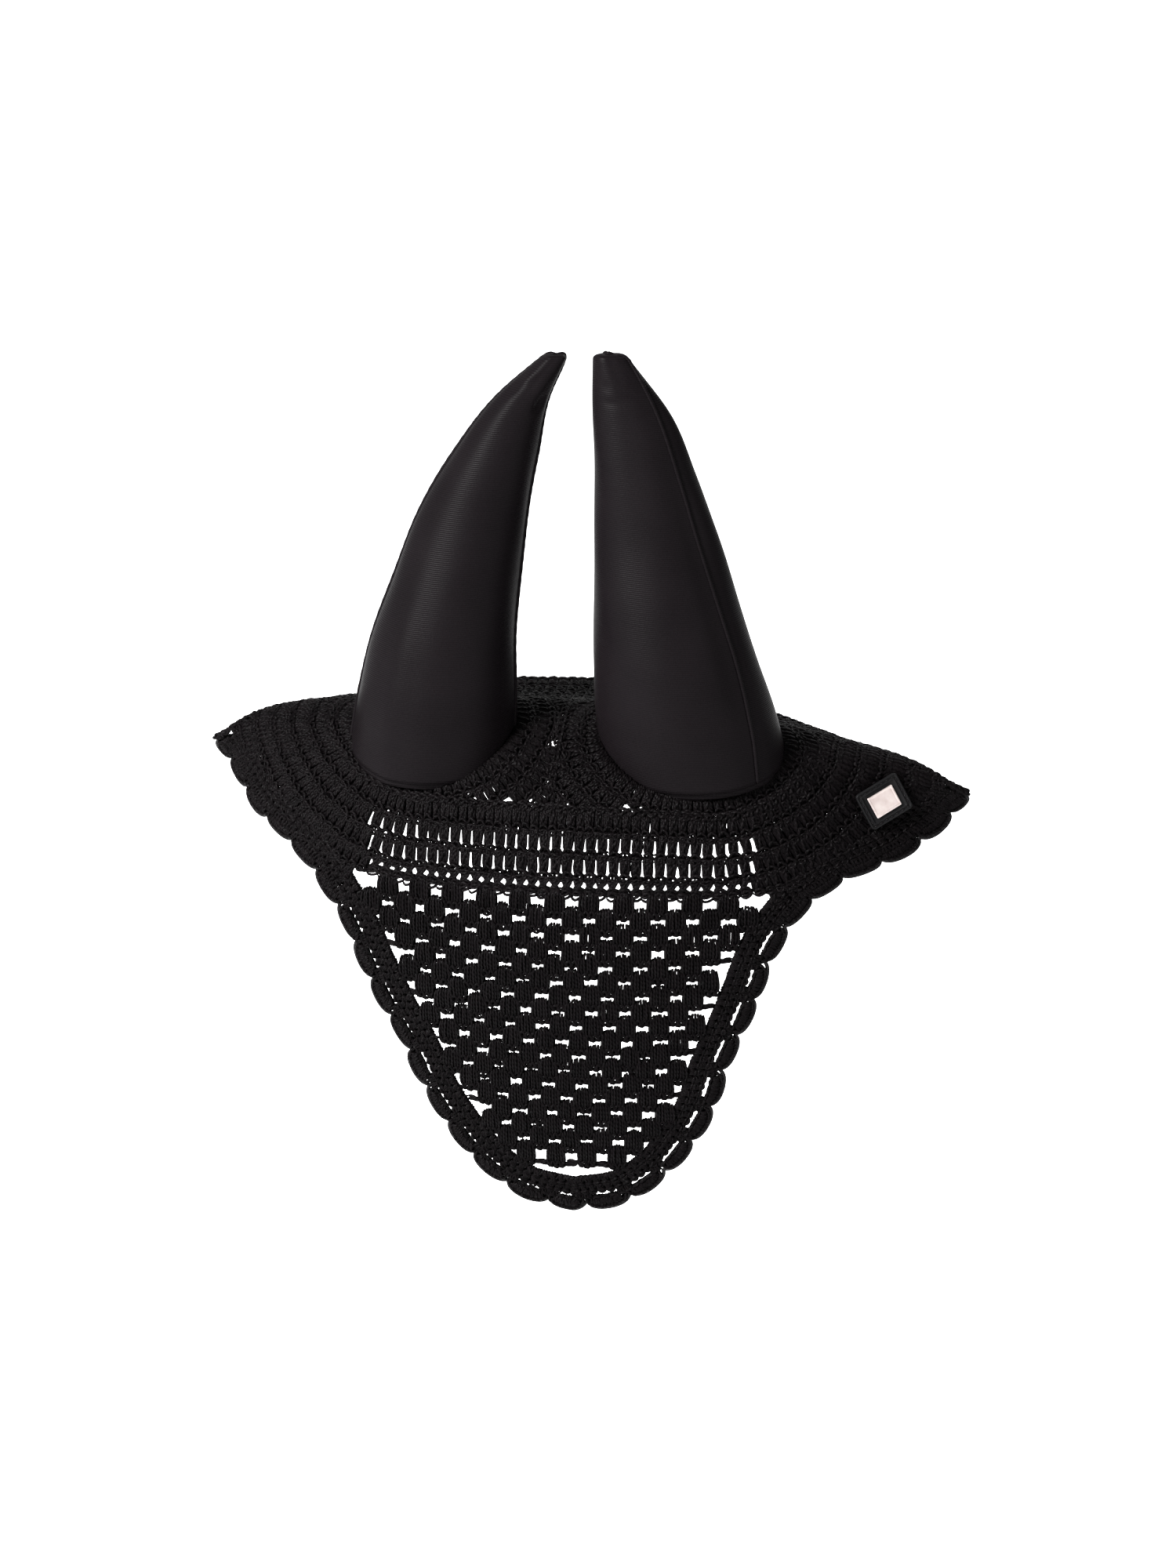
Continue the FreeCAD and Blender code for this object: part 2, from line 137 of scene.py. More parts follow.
def yarnMaterial():
    look = yarnLook
    graph = Graph("blackCottonYarn")
    along = graph.attribute("yarnAlong")
    around = graph.attribute("yarnAround")
    shade = graph.attribute("yarnShade")
    ply = (along * (2 * math.pi / (look["plyTurn"] * mm)) + around * 2).sine() * 0.5 + 0.5
    fibre = graph.noise(look["fibreScale"], 3, 0.6)
    patch = graph.noise(90, 2)
    tone = ply * 0.45 + shade * 0.35 + fibre * 0.25 + patch * 0.3 - 0.2
    colour = graph.mixColour(tone, look["dark"], look["light"])
    plies = graph.bump(ply, look["plyDepth"])
    normal = graph.bump(fibre, look["fibreDepth"], plies)
    return graph.finish(
        Base_Color=colour, Roughness=fibre * 0.2 + (look["roughness"] - 0.1), Normal=normal,
        Specular_IOR_Level=look["specular"])


satinLook = {
    "dark": (0.0006, 0.00045, 0.00055, 1), "light": (0.0034, 0.0027, 0.0031, 1), "roughness": 0.40,
    "ribPitch": 1.0, "ribDepth": 0.00008, "grainDepth": 0.00006, "specular": 0.012}


def satinMaterial():
    look = satinLook
    graph = Graph("blackStretchSatin")
    place = graph.node("ShaderNodeSeparateXYZ", {}, {0: graph.place()}, 2)
    rib = (place * (2 * math.pi / (look["ribPitch"] * mm))).sine() * 0.5 + 0.5
    grain = graph.noise(1500, 3, 0.6)
    cloud = graph.noise(26, 2)
    tone = rib * 0.25 + grain * 0.5 + cloud * 0.45 - 0.1
    ribs = graph.bump(rib, look["ribDepth"])
    normal = graph.bump(grain, look["grainDepth"], ribs)
    return graph.finish(
        Base_Color=graph.mixColour(tone, look["dark"], look["light"]),
        Roughness=grain * 0.16 + (look["roughness"] - 0.08), Normal=normal,
        Specular_IOR_Level=look["specular"])


cordLook = {
    "dark": (0.0006, 0.0005, 0.0006, 1), "light": (0.0042, 0.0036, 0.0040, 1), "roughness": 0.40,
    "wrapTurn": 1.1, "wrapDepth": 0.00008, "specular": 0.05}


def cordMaterial():
    look = cordLook
    graph = Graph("blackEdgeCord")
    along = graph.attribute("yarnAlong")
    around = graph.attribute("yarnAround")
    wrap = (along * (2 * math.pi / (look["wrapTurn"] * mm)) + around).sine() * 0.5 + 0.5
    grain = graph.noise(1800, 2)
    tone = wrap * 0.5 + grain * 0.5
    return graph.finish(
        Base_Color=graph.mixColour(tone, look["dark"], look["light"]),
        Roughness=grain * 0.2 + (look["roughness"] - 0.1), Normal=graph.bump(wrap, look["wrapDepth"]),
        Specular_IOR_Level=look["specular"])


rubberLook = {
    "dark": (0.0008, 0.0008, 0.0009, 1), "light": (0.0024, 0.0023, 0.0025, 1), "roughness": 0.48,
    "grainDepth": 0.00004, "specular": 0.05}


def rubberMaterial():
    look = rubberLook
    graph = Graph("blackMouldedRubber")
    grain = graph.noise(2200, 3, 0.6)
    cloud = graph.noise(160, 2)
    return graph.finish(
        Base_Color=graph.mixColour(cloud, look["dark"], look["light"]),
        Roughness=cloud * 0.2 + (look["roughness"] - 0.1), Normal=graph.bump(grain, look["grainDepth"]),
        Specular_IOR_Level=look["specular"])


plateLook = {
    "dark": (0.24, 0.19, 0.18, 1), "light": (0.42, 0.38, 0.365, 1), "roughness": 0.375,
    "streaks": (300, 7000, 7000), "streakDepth": 0.00003}


def plateMaterial():
    look = plateLook
    graph = Graph("brushedWarmSilver")
    stretched = graph.node(
        "ShaderNodeVectorMath", {"operation": "MULTIPLY"}, {0: graph.place(), 1: look["streaks"]})
    streak = graph.noise(1, 4, 0.6, stretched)
    cloud = graph.noise(220, 2)
    return graph.finish(
        Base_Color=graph.mixColour(cloud, look["dark"], look["light"]), Metallic=1.0,
        Roughness=streak * 0.25 + (look["roughness"] - 0.125), Normal=graph.bump(streak, look["streakDepth"]))


materials = {
    "yarn": yarnMaterial(), "satin": satinMaterial(), "cord": cordMaterial(),
    "rubber": rubberMaterial(), "plate": plateMaterial()}
print("materials ready")

# The middle of the cloth, in millimetres, by how far across the head and along it from the poll.
# Each droop is how far the wing hangs at droopSpan and the power that it grows by.
headForm = {
    "profile": [(85, -12), (55, -11), (25, -5), (0, 2), (-30, -3), (-60, -27), (-74, -60), (-79, -84),
                (-76, -156), (-61, -264), (-57, -289)],
    "crest": 3, "wrapRate": 0.0016, "wrapStart": -5, "wrapFull": 75,
    "droop": {"left": (21, 3.5), "right": (32, 2.1)}, "droopSpan": 200, "droopFade": 70, "droopEnd": 150,
    "tipShift": 7, "tipShiftFrom": 140, "tipShiftTo": 203}


def chordKnots(points):
    points = np.asarray(points, float)
    return np.concatenate([[0], np.cumsum(np.linalg.norm(np.diff(points, axis=0), axis=1))])


# Points at places along a smooth curve through the given ones, straight past its ends
def smoothPath(points, knots, where):
    points, where = np.asarray(points, float), np.asarray(where, float)
    slopes = np.empty_like(points)
    gaps = np.diff(knots)
    weight = gaps[:, None]
    chords = np.diff(points, axis=0) / weight
    slopes[1:-1] = (chords[1:] * weight[:-1] + chords[:-1] * weight[1:]) / (weight[:-1] + weight[1:])
    slopes[0], slopes[-1] = chords[0], chords[-1]
    span = np.clip(np.searchsorted(knots, where) - 1, 0, len(knots) - 2)
    step = gaps[span]
    part = (where - knots[span]) / step
    ratio = np.clip(part, 0, 1)
    square, cube = (ratio ** 2)[..., None], (ratio ** 3)[..., None]
    stepped, flat = step[..., None], ratio[..., None]
    result = (2 * cube - 3 * square + 1) * points[span] + (cube - 2 * square + flat) * stepped * slopes[span]
    result += (3 * square - 2 * cube) * points[span + 1] + (cube - square) * stepped * slopes[span + 1]
    beyond = ((part - ratio) * step)[..., None]
    return result + beyond * np.where(beyond > 0, slopes[span + 1], slopes[span])


def smoothStep(value, low, high):
    ramp = np.clip((np.asarray(value, float) - low) / (high - low), 0, 1)
    return ramp * ramp * (3 - 2 * ramp)


profileKnots = chordKnots(headForm["profile"])
profileKnots = profileKnots - profileKnots[headForm["crest"]]


def formPoint(across, along):
    form = headForm
    across, along = np.broadcast_arrays(np.asarray(across, float), np.asarray(along, float))
    line = smoothPath(form["profile"], profileKnots, along)
    wrap = form["wrapRate"] * across ** 2 * smoothStep(along, form["wrapStart"], form["wrapFull"])
    reach = np.abs(across) / form["droopSpan"]
    left, right = (depth * reach ** power for depth, power in form["droop"].values())
    hang = np.where(across < 0, left, right) * (1 - smoothStep(along, form["droopFade"], form["droopEnd"]))
    shift = form["tipShift"] * smoothStep(np.abs(across), form["tipShiftFrom"], form["tipShiftTo"])
    return np.stack([across + shift, line[..., 0] + wrap, line[..., 1] - hang], -1)


def formNormal(across, along):
    step = 0.5
    width = formPoint(across + step, along) - formPoint(across - step, along)
    length = formPoint(across, along + step) - formPoint(across, along - step)
    normal = np.cross(length, width)
    return normal / np.linalg.norm(normal, axis=-1, keepdims=True)


# World points in millimetres from across and along pairs and a height off the cloth's middle
def onForm(flat, rise):
    across, along = np.moveaxis(np.asarray(flat, float), -1, 0)
    return formPoint(across, along) + formNormal(across, along) * np.asarray(rise)[..., None]


rng = np.random.default_rng(7)


# How much of each control point goes into each sample of a smooth curve
def smoothWeights(controls, samples):
    knots = np.arange(controls, dtype=float)
    return smoothPath(np.eye(controls), knots, np.linspace(0, controls - 1, samples))


def makeMesh(name, verts, quads, attributes=None, material=None):
    mesh = bpy.data.meshes.new(name)
    mesh.vertices.add(len(verts))
    mesh.vertices.foreach_set("co", np.asarray(verts, np.float32).ravel())
    mesh.loops.add(len(quads) * 4)
    mesh.loops.foreach_set("vertex_index", np.asarray(quads, np.int32).ravel())
    mesh.polygons.add(len(quads))
    mesh.polygons.foreach_set("loop_start", np.arange(0, len(quads) * 4, 4, dtype=np.int32))
    mesh.polygons.foreach_set("use_smooth", np.ones(len(quads), bool))
    for key, values in (attributes or {}).items():
        mesh.attributes.new(key, "FLOAT", "POINT").data.foreach_set("value", np.asarray(values, np.float32))
    mesh.update(calc_edges=True)
    mesh.validate()
    piece = bpy.data.objects.new(name, mesh)
    bpy.context.scene.collection.objects.link(piece)
    if material:
        mesh.materials.append(materials[material])
    return piece


# Tubes round many paths of equal point counts: vertices, quads and the yarn attributes
def sweep(paths, radius, sides=6):
    paths = np.asarray(paths, float)
    count, samples, _ = paths.shape
    radius = np.broadcast_to(np.asarray(radius, float), (count, samples)).copy()
    radius[:, 0] *= 0.5
    radius[:, -1] *= 0.5
    tangent = np.gradient(paths, axis=1)
    tangent /= np.linalg.norm(tangent, axis=2, keepdims=True) + 1e-9
    helper = np.where(np.abs(tangent[:, 0, 2:3]) < 0.8, [[0.0, 0.0, 1.0]], [[1.0, 0.0, 0.0]])
    side = np.cross(tangent[:, 0], helper)
    sideList = []
    for step in range(samples):
        side = side - tangent[:, step] * (side * tangent[:, step]).sum(1, keepdims=True)
        side /= np.linalg.norm(side, axis=1, keepdims=True) + 1e-9
        sideList.append(side)
    side = np.stack(sideList, 1)
    other = np.cross(tangent, side)
    turn = np.arange(sides) * 2 * np.pi / sides
    ring = side[:, :, None] * np.cos(turn)[:, None] + other[:, :, None] * np.sin(turn)[:, None]
    verts = paths[:, :, None] + ring * radius[:, :, None, None]
    strides = np.linalg.norm(np.diff(paths, axis=1), axis=2)
    length = np.concatenate([np.zeros((count, 1)), np.cumsum(strides, 1)], 1)
    length += rng.uniform(0, 9, (count, 1))
    along = np.repeat(length[:, :, None], sides, 2) * mm
    around = np.broadcast_to(turn, (count, samples, sides))
    shade = np.broadcast_to(rng.uniform(0, 1, (count, 1, 1)), (count, samples, sides))
    step = np.arange(samples - 1)[:, None]
    spoke = np.arange(sides)[None, :]
    after = (spoke + 1) % sides
    tube = np.stack([
        step * sides + spoke, step * sides + after, (step + 1) * sides + after, (step + 1) * sides + spoke
    ], -1).reshape(-1, 4)
    caps = []
    for pair in range((sides - 2) // 2):
        caps.append([0, 2 * pair + 3, 2 * pair + 2, 2 * pair + 1])
        last = (samples - 1) * sides
        caps.append([last, last + 2 * pair + 1, last + 2 * pair + 2, last + 2 * pair + 3])
    pattern = np.concatenate([tube, np.array(caps)])
    quads = (np.arange(count)[:, None, None] * samples * sides + pattern[None]).reshape(-1, 4)
    return verts.reshape(-1, 3), quads, along.ravel(), around.ravel(), shade.ravel()


# Gathers tubes, then makes one piece of them
class Skein:
    def __init__(self):
        self.parts, self.total = [], 0

    def add(self, paths, radius, sides=6):
        if len(paths) == 0:
            return
        verts, quads, along, around, shade = sweep(paths, radius, sides)
        self.parts.append((verts, quads + self.total, along, around, shade))
        self.total += len(verts)

    def piece(self, name, material="yarn"):
        verts, quads, along, around, shade = (np.concatenate(group) for group in zip(*self.parts))
        made = makeMesh(
            name, verts * mm, quads, {"yarnAlong": along, "yarnAround": around, "yarnShade": shade}, material)
        print(f"{name}: {len(quads) * 2} triangles")
        return made


# A line that a row of stitches is worked along, as across and along pairs, with its outward side
class RowLine:
    def __init__(self, points, facing=None, closed=False, sides=None):
        self.points = np.asarray(points, float)
        if closed:
            self.points = np.concatenate([self.points, self.points[:1]])
        self.knots = chordKnots(self.points)
        self.length = self.knots[-1]
        self.closed = closed
        step = np.gradient(self.points, axis=0)
        if closed:
            step[0] = step[-1] = self.points[1] - self.points[-2]
        step /= np.linalg.norm(step, axis=1, keepdims=True)
        self.sides = np.stack([-step[:, 1], step[:, 0]], -1) if sides is None else sides
        if facing:
            index, toward = facing
            self.sides = self.sides * np.sign(self.sides[index] @ np.array(toward))

    def at(self, where, out):
        where = np.mod(where, self.length) if self.closed else where
        point = np.stack([np.interp(where, self.knots, self.points[:, axis]) for axis in (0, 1)], -1)
        side = np.stack([np.interp(where, self.knots, self.sides[:, axis]) for axis in (0, 1)], -1)
        side /= np.linalg.norm(side, axis=-1, keepdims=True)
        return point + side * np.asarray(out)[..., None]


# A stitch's strands are lists of (along the row in stitches, across the row in rows, rise in mm)
def twin(points, gap):
    return [[(u + shift, v, w) for u, v, w in points] for shift in (-gap / 2, gap / 2)]


backing = [
    [(u, -0.14, -1.1), (u * 0.9, 0.35, -1.3), (u * 1.1, 0.7, -1.3), (u, 1.06, -1.0)]
    for u in (-0.34, 0, 0.34)]
wrap = [(-0.27, 0.14, 0.6), (-0.12, 0.30, 1.7), (0.10, 0.52, 1.9), (0.25, 0.74, 0.9)]
braid = [
    [(-0.62, 1.05, 0.2), (-0.32, 0.80, 1.6), (0.10, 0.72, 1.9), (0.46, 0.94, 0.7)],
    [(-0.58, 0.95, 0.0), (-0.22, 1.12, 1.5), (0.20, 1.20, 1.8), (0.55, 1.07, 0.6)],
    [(-0.60, 1.00, 0.6), (-0.25, 1.00, 1.2), (0.20, 0.98, 1.0), (0.60, 1.02, 0.4)],
    [(-0.55, 1.1, -0.8), (-0.1, 1.14, -1.2), (0.5, 1.1, -0.7)],
    [(-0.55, 0.86, -0.7), (0.0, 0.84, -1.1), (0.5, 0.88, -0.6)]]
legs = (
    twin([(-0.19, -0.12, -0.6), (-0.24, 0.12, 0.9), (-0.22, 0.5, 1.0), (-0.15, 0.86, 0.3)], 0.19)
    + twin([(0.19, -0.12, -0.6), (0.24, 0.12, 0.7), (0.21, 0.5, 0.9), (0.15, 0.86, 0.3)], 0.19))
under = [(0.0, -0.05, -1.3), (0.02, 0.5, -1.2), (0.0, 0.95, -0.9)]
openStitch = {"legs": legs + [wrap, under], "braid": braid}
denseStitch = {"legs": legs + [wrap], "braid": braid, "backing": backing}
slantStitch = {
    "legs": twin([(-0.40, -0.16, -0.4), (-0.26, 0.20, 1.2), (0.08, 0.50, 1.3), (0.34, 0.92, 0.3)], 0.24)
    + twin([(0.24, -0.16, -0.6), (0.16, 0.20, 0.3), (-0.04, 0.56, 0.3), (-0.16, 0.90, 0.2)], 0.26),
    "braid": [[(u, v - 0.24, w) for u, v, w in strand] for strand in braid] + braid[:2]}
lowStitch = {
    "legs": twin([(-0.24, -0.20, -0.6), (-0.26, 0.10, 1.0), (-0.06, 0.50, 1.5), (0.12, 0.86, 0.5)], 0.24)
    + twin([(0.28, -0.20, -0.6), (0.26, 0.12, 0.8), (0.10, 0.48, 0.9), (-0.12, 0.86, 0.3)], 0.24),
    "braid": braid, "backing": backing}
napeStitch = {
    "legs": legs + [wrap, under], "braid": braid + [[(u, v - 0.2, w * 0.8) for u, v, w in braid[0]]]}
stitchLook = {"jitter": 0.035, "sizeSpread": 0.05, "legs": 1.2, "backing": 1.25, "flatten": 0.8}


# Works one row of stitches along a line, outward from it
def placeStitches(skein, line, height, stitch, pitch, keep=None, radius=0.8, warp=None, phase=0.0,
                  backed=None, sides=6):
    jitter = stitchLook["jitter"]
    count = max(int(round(line.length / pitch)), 1)
    step = line.length / count
    centres = (np.arange(count) + 0.5 + phase) * step
    middle = line.at(centres, np.full(count, height * 0.5))
    if warp:
        middle = warp(middle)
    chosen = np.ones(count, bool) if keep is None else keep(middle)
    everyCentre = centres[chosen]
    everySize = rng.normal(1, stitchLook["sizeSpread"], len(everyCentre))
    for kind, group in stitch.items():
        centres, size = everyCentre, everySize
        if backed and kind == "backing":
            behind = backed(middle[chosen])
            centres, size = centres[behind], size[behind]
        for strand in group:
            control = np.array(strand)
            points = np.broadcast_to(control, (len(centres), *control.shape)).copy()
            points[..., :2] += rng.normal(0, jitter, points[..., :2].shape)
            points[..., 2] += rng.normal(0, jitter * 4, points[..., 2].shape)
            paths = np.einsum("sc,ncd->nsd", smoothWeights(len(control), 7), points)
            flat = line.at(centres[:, None] + paths[..., 0] * step * size[:, None], paths[..., 1] * height)
            if warp:
                flat = warp(flat)
            rise = paths[..., 2] * stitchLook["flatten"]
            thick = radius * stitchLook.get(kind, 1) * (1 + rng.normal(0, 0.06, (len(centres), 1)))
            skein.add(onForm(flat, rise), thick, sides)


outline = {
    "edge": [(203, 38), (190, 68), (170, 93), (150, 108), (135, 122), (124, 137), (114, 154), (107, 172),
             (97, 196), (86, 220), (79, 240), (68, 261), (51, 284), (30, 300), (0, 307)],
    "rim": [(0, -84), (50, -78), (100, -58), (140, -24), (172, 0), (198, 30)],
    "swing": 8, "swingFrom": 126, "swingTo": 307, "slitsFrom": 128, "shellDepth": 10.5, "edgingWidth": 10.5}
borderWidth = outline["shellDepth"] + outline["edgingWidth"]


# The front edge from the left tip round the fringe to the right tip
def wholeEdge():
    knots = chordKnots(outline["edge"])
    half = smoothPath(outline["edge"], knots, np.linspace(0, knots[-1], 240))
    left = half * [-1, 1]
    whole = np.concatenate([left, half[::-1][1:]])
    whole[:, 0] += outline["swing"] * smoothStep(whole[:, 1], outline["swingFrom"], outline["swingTo"])
    return RowLine(whole, facing=(len(half), (0, 1)))


edgeLine = wholeEdge()


# Whether points lie inside the front edge by at least an inset
def insideEdge(flat, inset):
    limit = edgeLine.points - edgeLine.sides * inset
    along = flat[..., 1]
    half = len(limit) // 2
    left = np.interp(along, limit[:half, 1], limit[:half, 0])
    right = np.interp(along, limit[half:, 1][::-1], limit[half:, 0][::-1])
    return (flat[..., 0] > left) & (flat[..., 0] < right) & (along < limit[:, 1].max())


def rimAlong(across):
    rim = np.array(outline["rim"], float)
    return smoothPath(rim[:, 1:], rim[:, 0], np.abs(across))[..., 0]


meshRows = {"first": 124.3, "pitch": 8.6, "rows": 18, "columnPitch": 17.8, "narrowing": 0.07, "radius": 0.78,
            "backRadius": 1.25, "wobble": 0.5, "jitter": 0.16, "margin": 2.2, "chainMargin": -3}


# One cluster of trebles over a chain: a fan of strands, the braid at its foot and chain at its sides
def clusterStrands():
    strands = []
    for index in range(-3, 4):
        lean = index / 3
        top = -7.3 + 1.2 * lean * lean
        strands.append([
            (index * 1.30, top + 1.2, -1.6), (index * 1.34, top, 0.2), (index * 1.44, top + 1.8, 2.0),
            (index * 1.58, -0.8, 2.4), (index * 1.55, 2.8, 1.6), (index * 1.32, 5.4, 0.2)])
    braid = []
    for index in range(-1, 2):
        middle = index * 3.1
        sag = 0.9 - 0.5 * index * index
        braid.append([(middle - 2.2, 2.6, 1.1), (middle - 0.7, 3.9, 2.1), (middle + 0.6, 5.1 + sag, 1.9),
                      (middle + 1.6, 6.0 + sag, 0.5)])
        braid.append([(middle + 2.2, 2.8, 0.8), (middle + 0.9, 4.1, 1.7), (middle - 0.5, 5.5 + sag, 1.4),
                      (middle - 1.3, 6.3 + sag, 0.2)])
        braid.append([(middle - 2.3, 5.4, 0.6), (middle - 0.4, 6.4 + sag, 1.4),
                      (middle + 1.6, 6.0 + sag, 0.9), (middle + 2.4, 5.2, 0.2)])
    for index in range(-2, 3):
        braid.append([(index * 2.0, -5.2, -0.9), (index * 2.2, -1.0, -1.2), (index * 2.2, 3.0, -0.9),
                      (index * 2.0, 5.8, -0.2)])
    chain = []
    for side in (-1, 1):
        chain.append([(side * 3.6, 4.6, -0.4), (side * 6.2, 4.5, 0.5), (side * 8.9, 4.0, 0.3),
                      (side * 11.6, 4.6, -0.6)])
        chain.append([(side * 3.6, 5.8, -0.8), (side * 6.2, 6.1, -0.3), (side * 8.9, 5.8, -0.6),
                      (side * 11.6, 6.2, -1.0)])
    return strands, braid, chain


# Where each cluster sits, as across and along pairs, and how wide its column is
def meshCentres():
    spec = meshRows
    centres, widths = [], []
    for row in range(spec["rows"]):
        along = spec["first"] + row * spec["pitch"]
        pitch = spec["columnPitch"] * (1 - spec["narrowing"] * row / spec["rows"])
        offset = 0.5 * (row % 2)
        swing = outline["swing"] * smoothStep(along, outline["swingFrom"], outline["swingTo"])
        for column in range(-9, 10):
            across = (column + offset) * pitch + swing
            here = np.array([across, along])
            if insideEdge(here, borderWidth + spec["margin"]):
                centres.append((across, along))
                widths.append(pitch / spec["columnPitch"])
    return np.array(centres), np.array(widths)


def makeFringeMesh():
    centres, widths = meshCentres()
    skein = Skein()
    posts, braid, chain = clusterStrands()
    scale = np.stack([widths, np.ones_like(widths)], -1)[:, None]
    wobble = rng.normal(0, meshRows["wobble"], (len(centres), 1, 2))
    for group, samples in ((posts, 7), (braid, 5), (chain, 6)):
        for strand in group:
            control = np.array(strand)
            points = np.broadcast_to(control, (len(centres), *control.shape)).copy()
            points += rng.normal(0, meshRows["jitter"], points.shape)
            paths = np.einsum("sc,ncd->nsd", smoothWeights(len(control), samples), points)
            flat = centres[:, None] + paths[..., :2] * scale + wobble
            if group is chain:
                keep = insideEdge(flat, borderWidth + meshRows["chainMargin"]).all(axis=1)
                flat, paths = flat[keep], paths[keep]
            lowest = max(point[2] for point in strand) < 0
            radius = meshRows["backRadius"] if lowest else meshRows["radius"]
            skein.add(onForm(flat, paths[..., 2] * 0.85), radius, 5)
    return skein.piece("fringe_mesh_yarn")


shellSpec = {
    "pitch": 21.8, "posts": 9, "radius": 0.8, "cordRadius": 1.1, "notch": 4.2, "round": 2.3,
    "bridge": 3.6, "bridgeStrands": 6, "rimStrands": 12, "footStrands": 5, "closingStrands": 11}
slitLine = RowLine(edgeLine.points - edgeLine.sides * outline["shellDepth"], sides=edgeLine.sides)
shellCount = int(round(slitLine.length / shellSpec["pitch"]))
shellStep = slitLine.length / shellCount
print("shells", shellCount, "of", round(shellStep, 1), "mm")


# How far out the shell's edge is, at -1 to 1 across the shell
def shellEdge(part, grow=0.0):
    notch = shellSpec["notch"]
    full = outline["shellDepth"] - shellSpec["cordRadius"] - notch
    return notch + full * np.sqrt(np.clip(1 - np.abs(part) ** shellSpec["round"], 0, 1)) + grow


def makeBorder():
    skein = Skein()
    centres = (np.arange(shellCount) + 0.5) * shellStep
    half = shellStep / 2
    size = rng.normal(1, 0.04, (shellCount, 1))
    sway = rng.normal(0, 0.8, (shellCount, 1))

    everyShell = np.ones(shellCount, bool)
    onWing = slitLine.at(centres, 0 * centres)[..., 1] < outline["slitsFrom"]

    def lay(local, radius=shellSpec["radius"], samples=6, shells=everyShell):
        control = np.array(local)
        points = np.broadcast_to(control, (shellCount, *control.shape)).copy()
        points += rng.normal(0, 0.14, points.shape)
        paths = np.einsum("sc,ncd->nsd", smoothWeights(len(control), samples), points)
        flat = slitLine.at(centres[:, None] + sway + paths[..., 0], paths[..., 1] * size)
        skein.add(onForm(flat, paths[..., 2])[shells], radius, 5)

    posts = shellSpec["posts"]
    for index in range(posts):
        part = (index + 0.5) / posts * 2 - 1
        for shift in (-0.45, 0.45):
            reach = shellEdge(part * 0.94) - 1.5
            foot = (part * half * 0.62 + shift, 1.8)
            tip = (part * (half - 1.4) + shift * 1.5, reach)
            early, middle = ([a + (b - a) * share for a, b in zip(foot, tip)] for share in (0.3, 0.5))
            lay([(*foot, -0.5), (*early, 1.6), (middle[0], middle[1] + 0.6, 1.8), (*tip, 0.6)])
        lay([(part * half * 0.7, 1.8, -1.2), (part * half * 0.85, 4.2, -1.4),
             (part * (half - 1.6), shellEdge(part * 0.9) - 2, -1.0)], 0.95)
    strands = shellSpec["rimStrands"]
    for index in range(strands):
        part = (index + 0.5) / strands * 2 - 1
        after, before = min(part + 0.17, 1), max(part - 0.15, -1)
        run = half - 0.6
        lay([(before * run, shellEdge(before) - 2.9, 0.4), (part * run, shellEdge(part) - 1.3, 1.7),
             (after * run, shellEdge(after) - 1.9, 0.6)], 0.85)
        lay([(before * run, shellEdge(before) - 1.3, -0.2), (part * run, shellEdge(part) - 2.6, -1.2),
             (after * run, shellEdge(after) - 1.4, -0.3)], 0.85)
    strands = shellSpec["footStrands"]
    for index in range(strands):
        middle = (index - strands // 2) / strands * shellStep
        lay([(middle - 2.6, 2.4, 0.2), (middle - 0.6, 1.5, 1.4), (middle + 1.4, 1.9, 1.2),
             (middle + 2.8, 2.6, 0.1)])
        lay([(middle - 2.6, 1.7, -0.5), (middle, 2.4, -1.1), (middle + 2.8, 1.8, -0.5)])
    for index in range(shellSpec["bridgeStrands"]):
        place = half + (index / (shellSpec["bridgeStrands"] - 1) - 0.5) * 2 * shellSpec["bridge"]
        lean = (place - half) * 0.3
        lay([(place + lean, -3.0, -0.3), (place, -0.6, 0.9), (place, 1.6, 1.2),
             (place + lean * 0.4, 4.4 - abs(lean), 0.4)])
        lay([(place, -2.6, -1.0), (place, 0.6, -1.2), (place, 3.4, -0.9)])
    strands = shellSpec["closingStrands"]  # these fill the slits along the wings
    for index in range(strands):
        place = ((index + 0.5) / strands * 2 - 1) * half
        lay([(place - 0.4, -3.2, -0.2), (place, -0.8, 1.1), (place, 1.8, 1.4), (place * 0.97, 4.6, 0.5)],
            0.95, shells=onWing)
        lay([(place, -3.0, -0.9), (place, 1.0, -1.3), (place, 4.0, -0.8)], 1.0, shells=onWing)
    return skein.piece("border_shell_yarn"), sway[:, 0], size[:, 0]


# The thin smooth cord worked over every shell's edge
def makeBorderCord(sway, size):
    samples = 26
    part = np.linspace(-1, 1, samples)
    centres = (np.arange(shellCount) + 0.5) * shellStep
    where, out = [], []
    for centre, shift, grow in zip(centres, sway, size):
        where.append(centre + shift * (1 - part ** 2) + part * shellStep / 2)
        out.append(shellEdge(part, -0.2) * grow)
    flat = slitLine.at(np.concatenate(where), np.concatenate(out))
    line = onForm(flat, np.zeros(len(flat)))
    smooth = line.copy()
    for _ in range(2):
        smooth[1:-1] = (smooth[:-2] + smooth[1:-1] * 2 + smooth[2:]) / 4
    skein = Skein()
    skein.add(smooth[None], shellSpec["cordRadius"], 8)
    return skein.piece("border_cord", "cord")


# Rows of tight low stitches that end short of the slits
def makeEdging():
    skein = Skein()
    rows, slit = 2, 1.4
    height = (outline["edgingWidth"] - slit) / rows
    for row in range(rows):
        inset = outline["edgingWidth"] - height * row
        line = RowLine(slitLine.points - slitLine.sides * inset, sides=slitLine.sides)
        placeStitches(skein, line, height * 0.92, lowStitch, 4.3, radius=0.84, phase=0.5 * row % 1, sides=4)
    return skein.piece("fringe_edging_yarn")


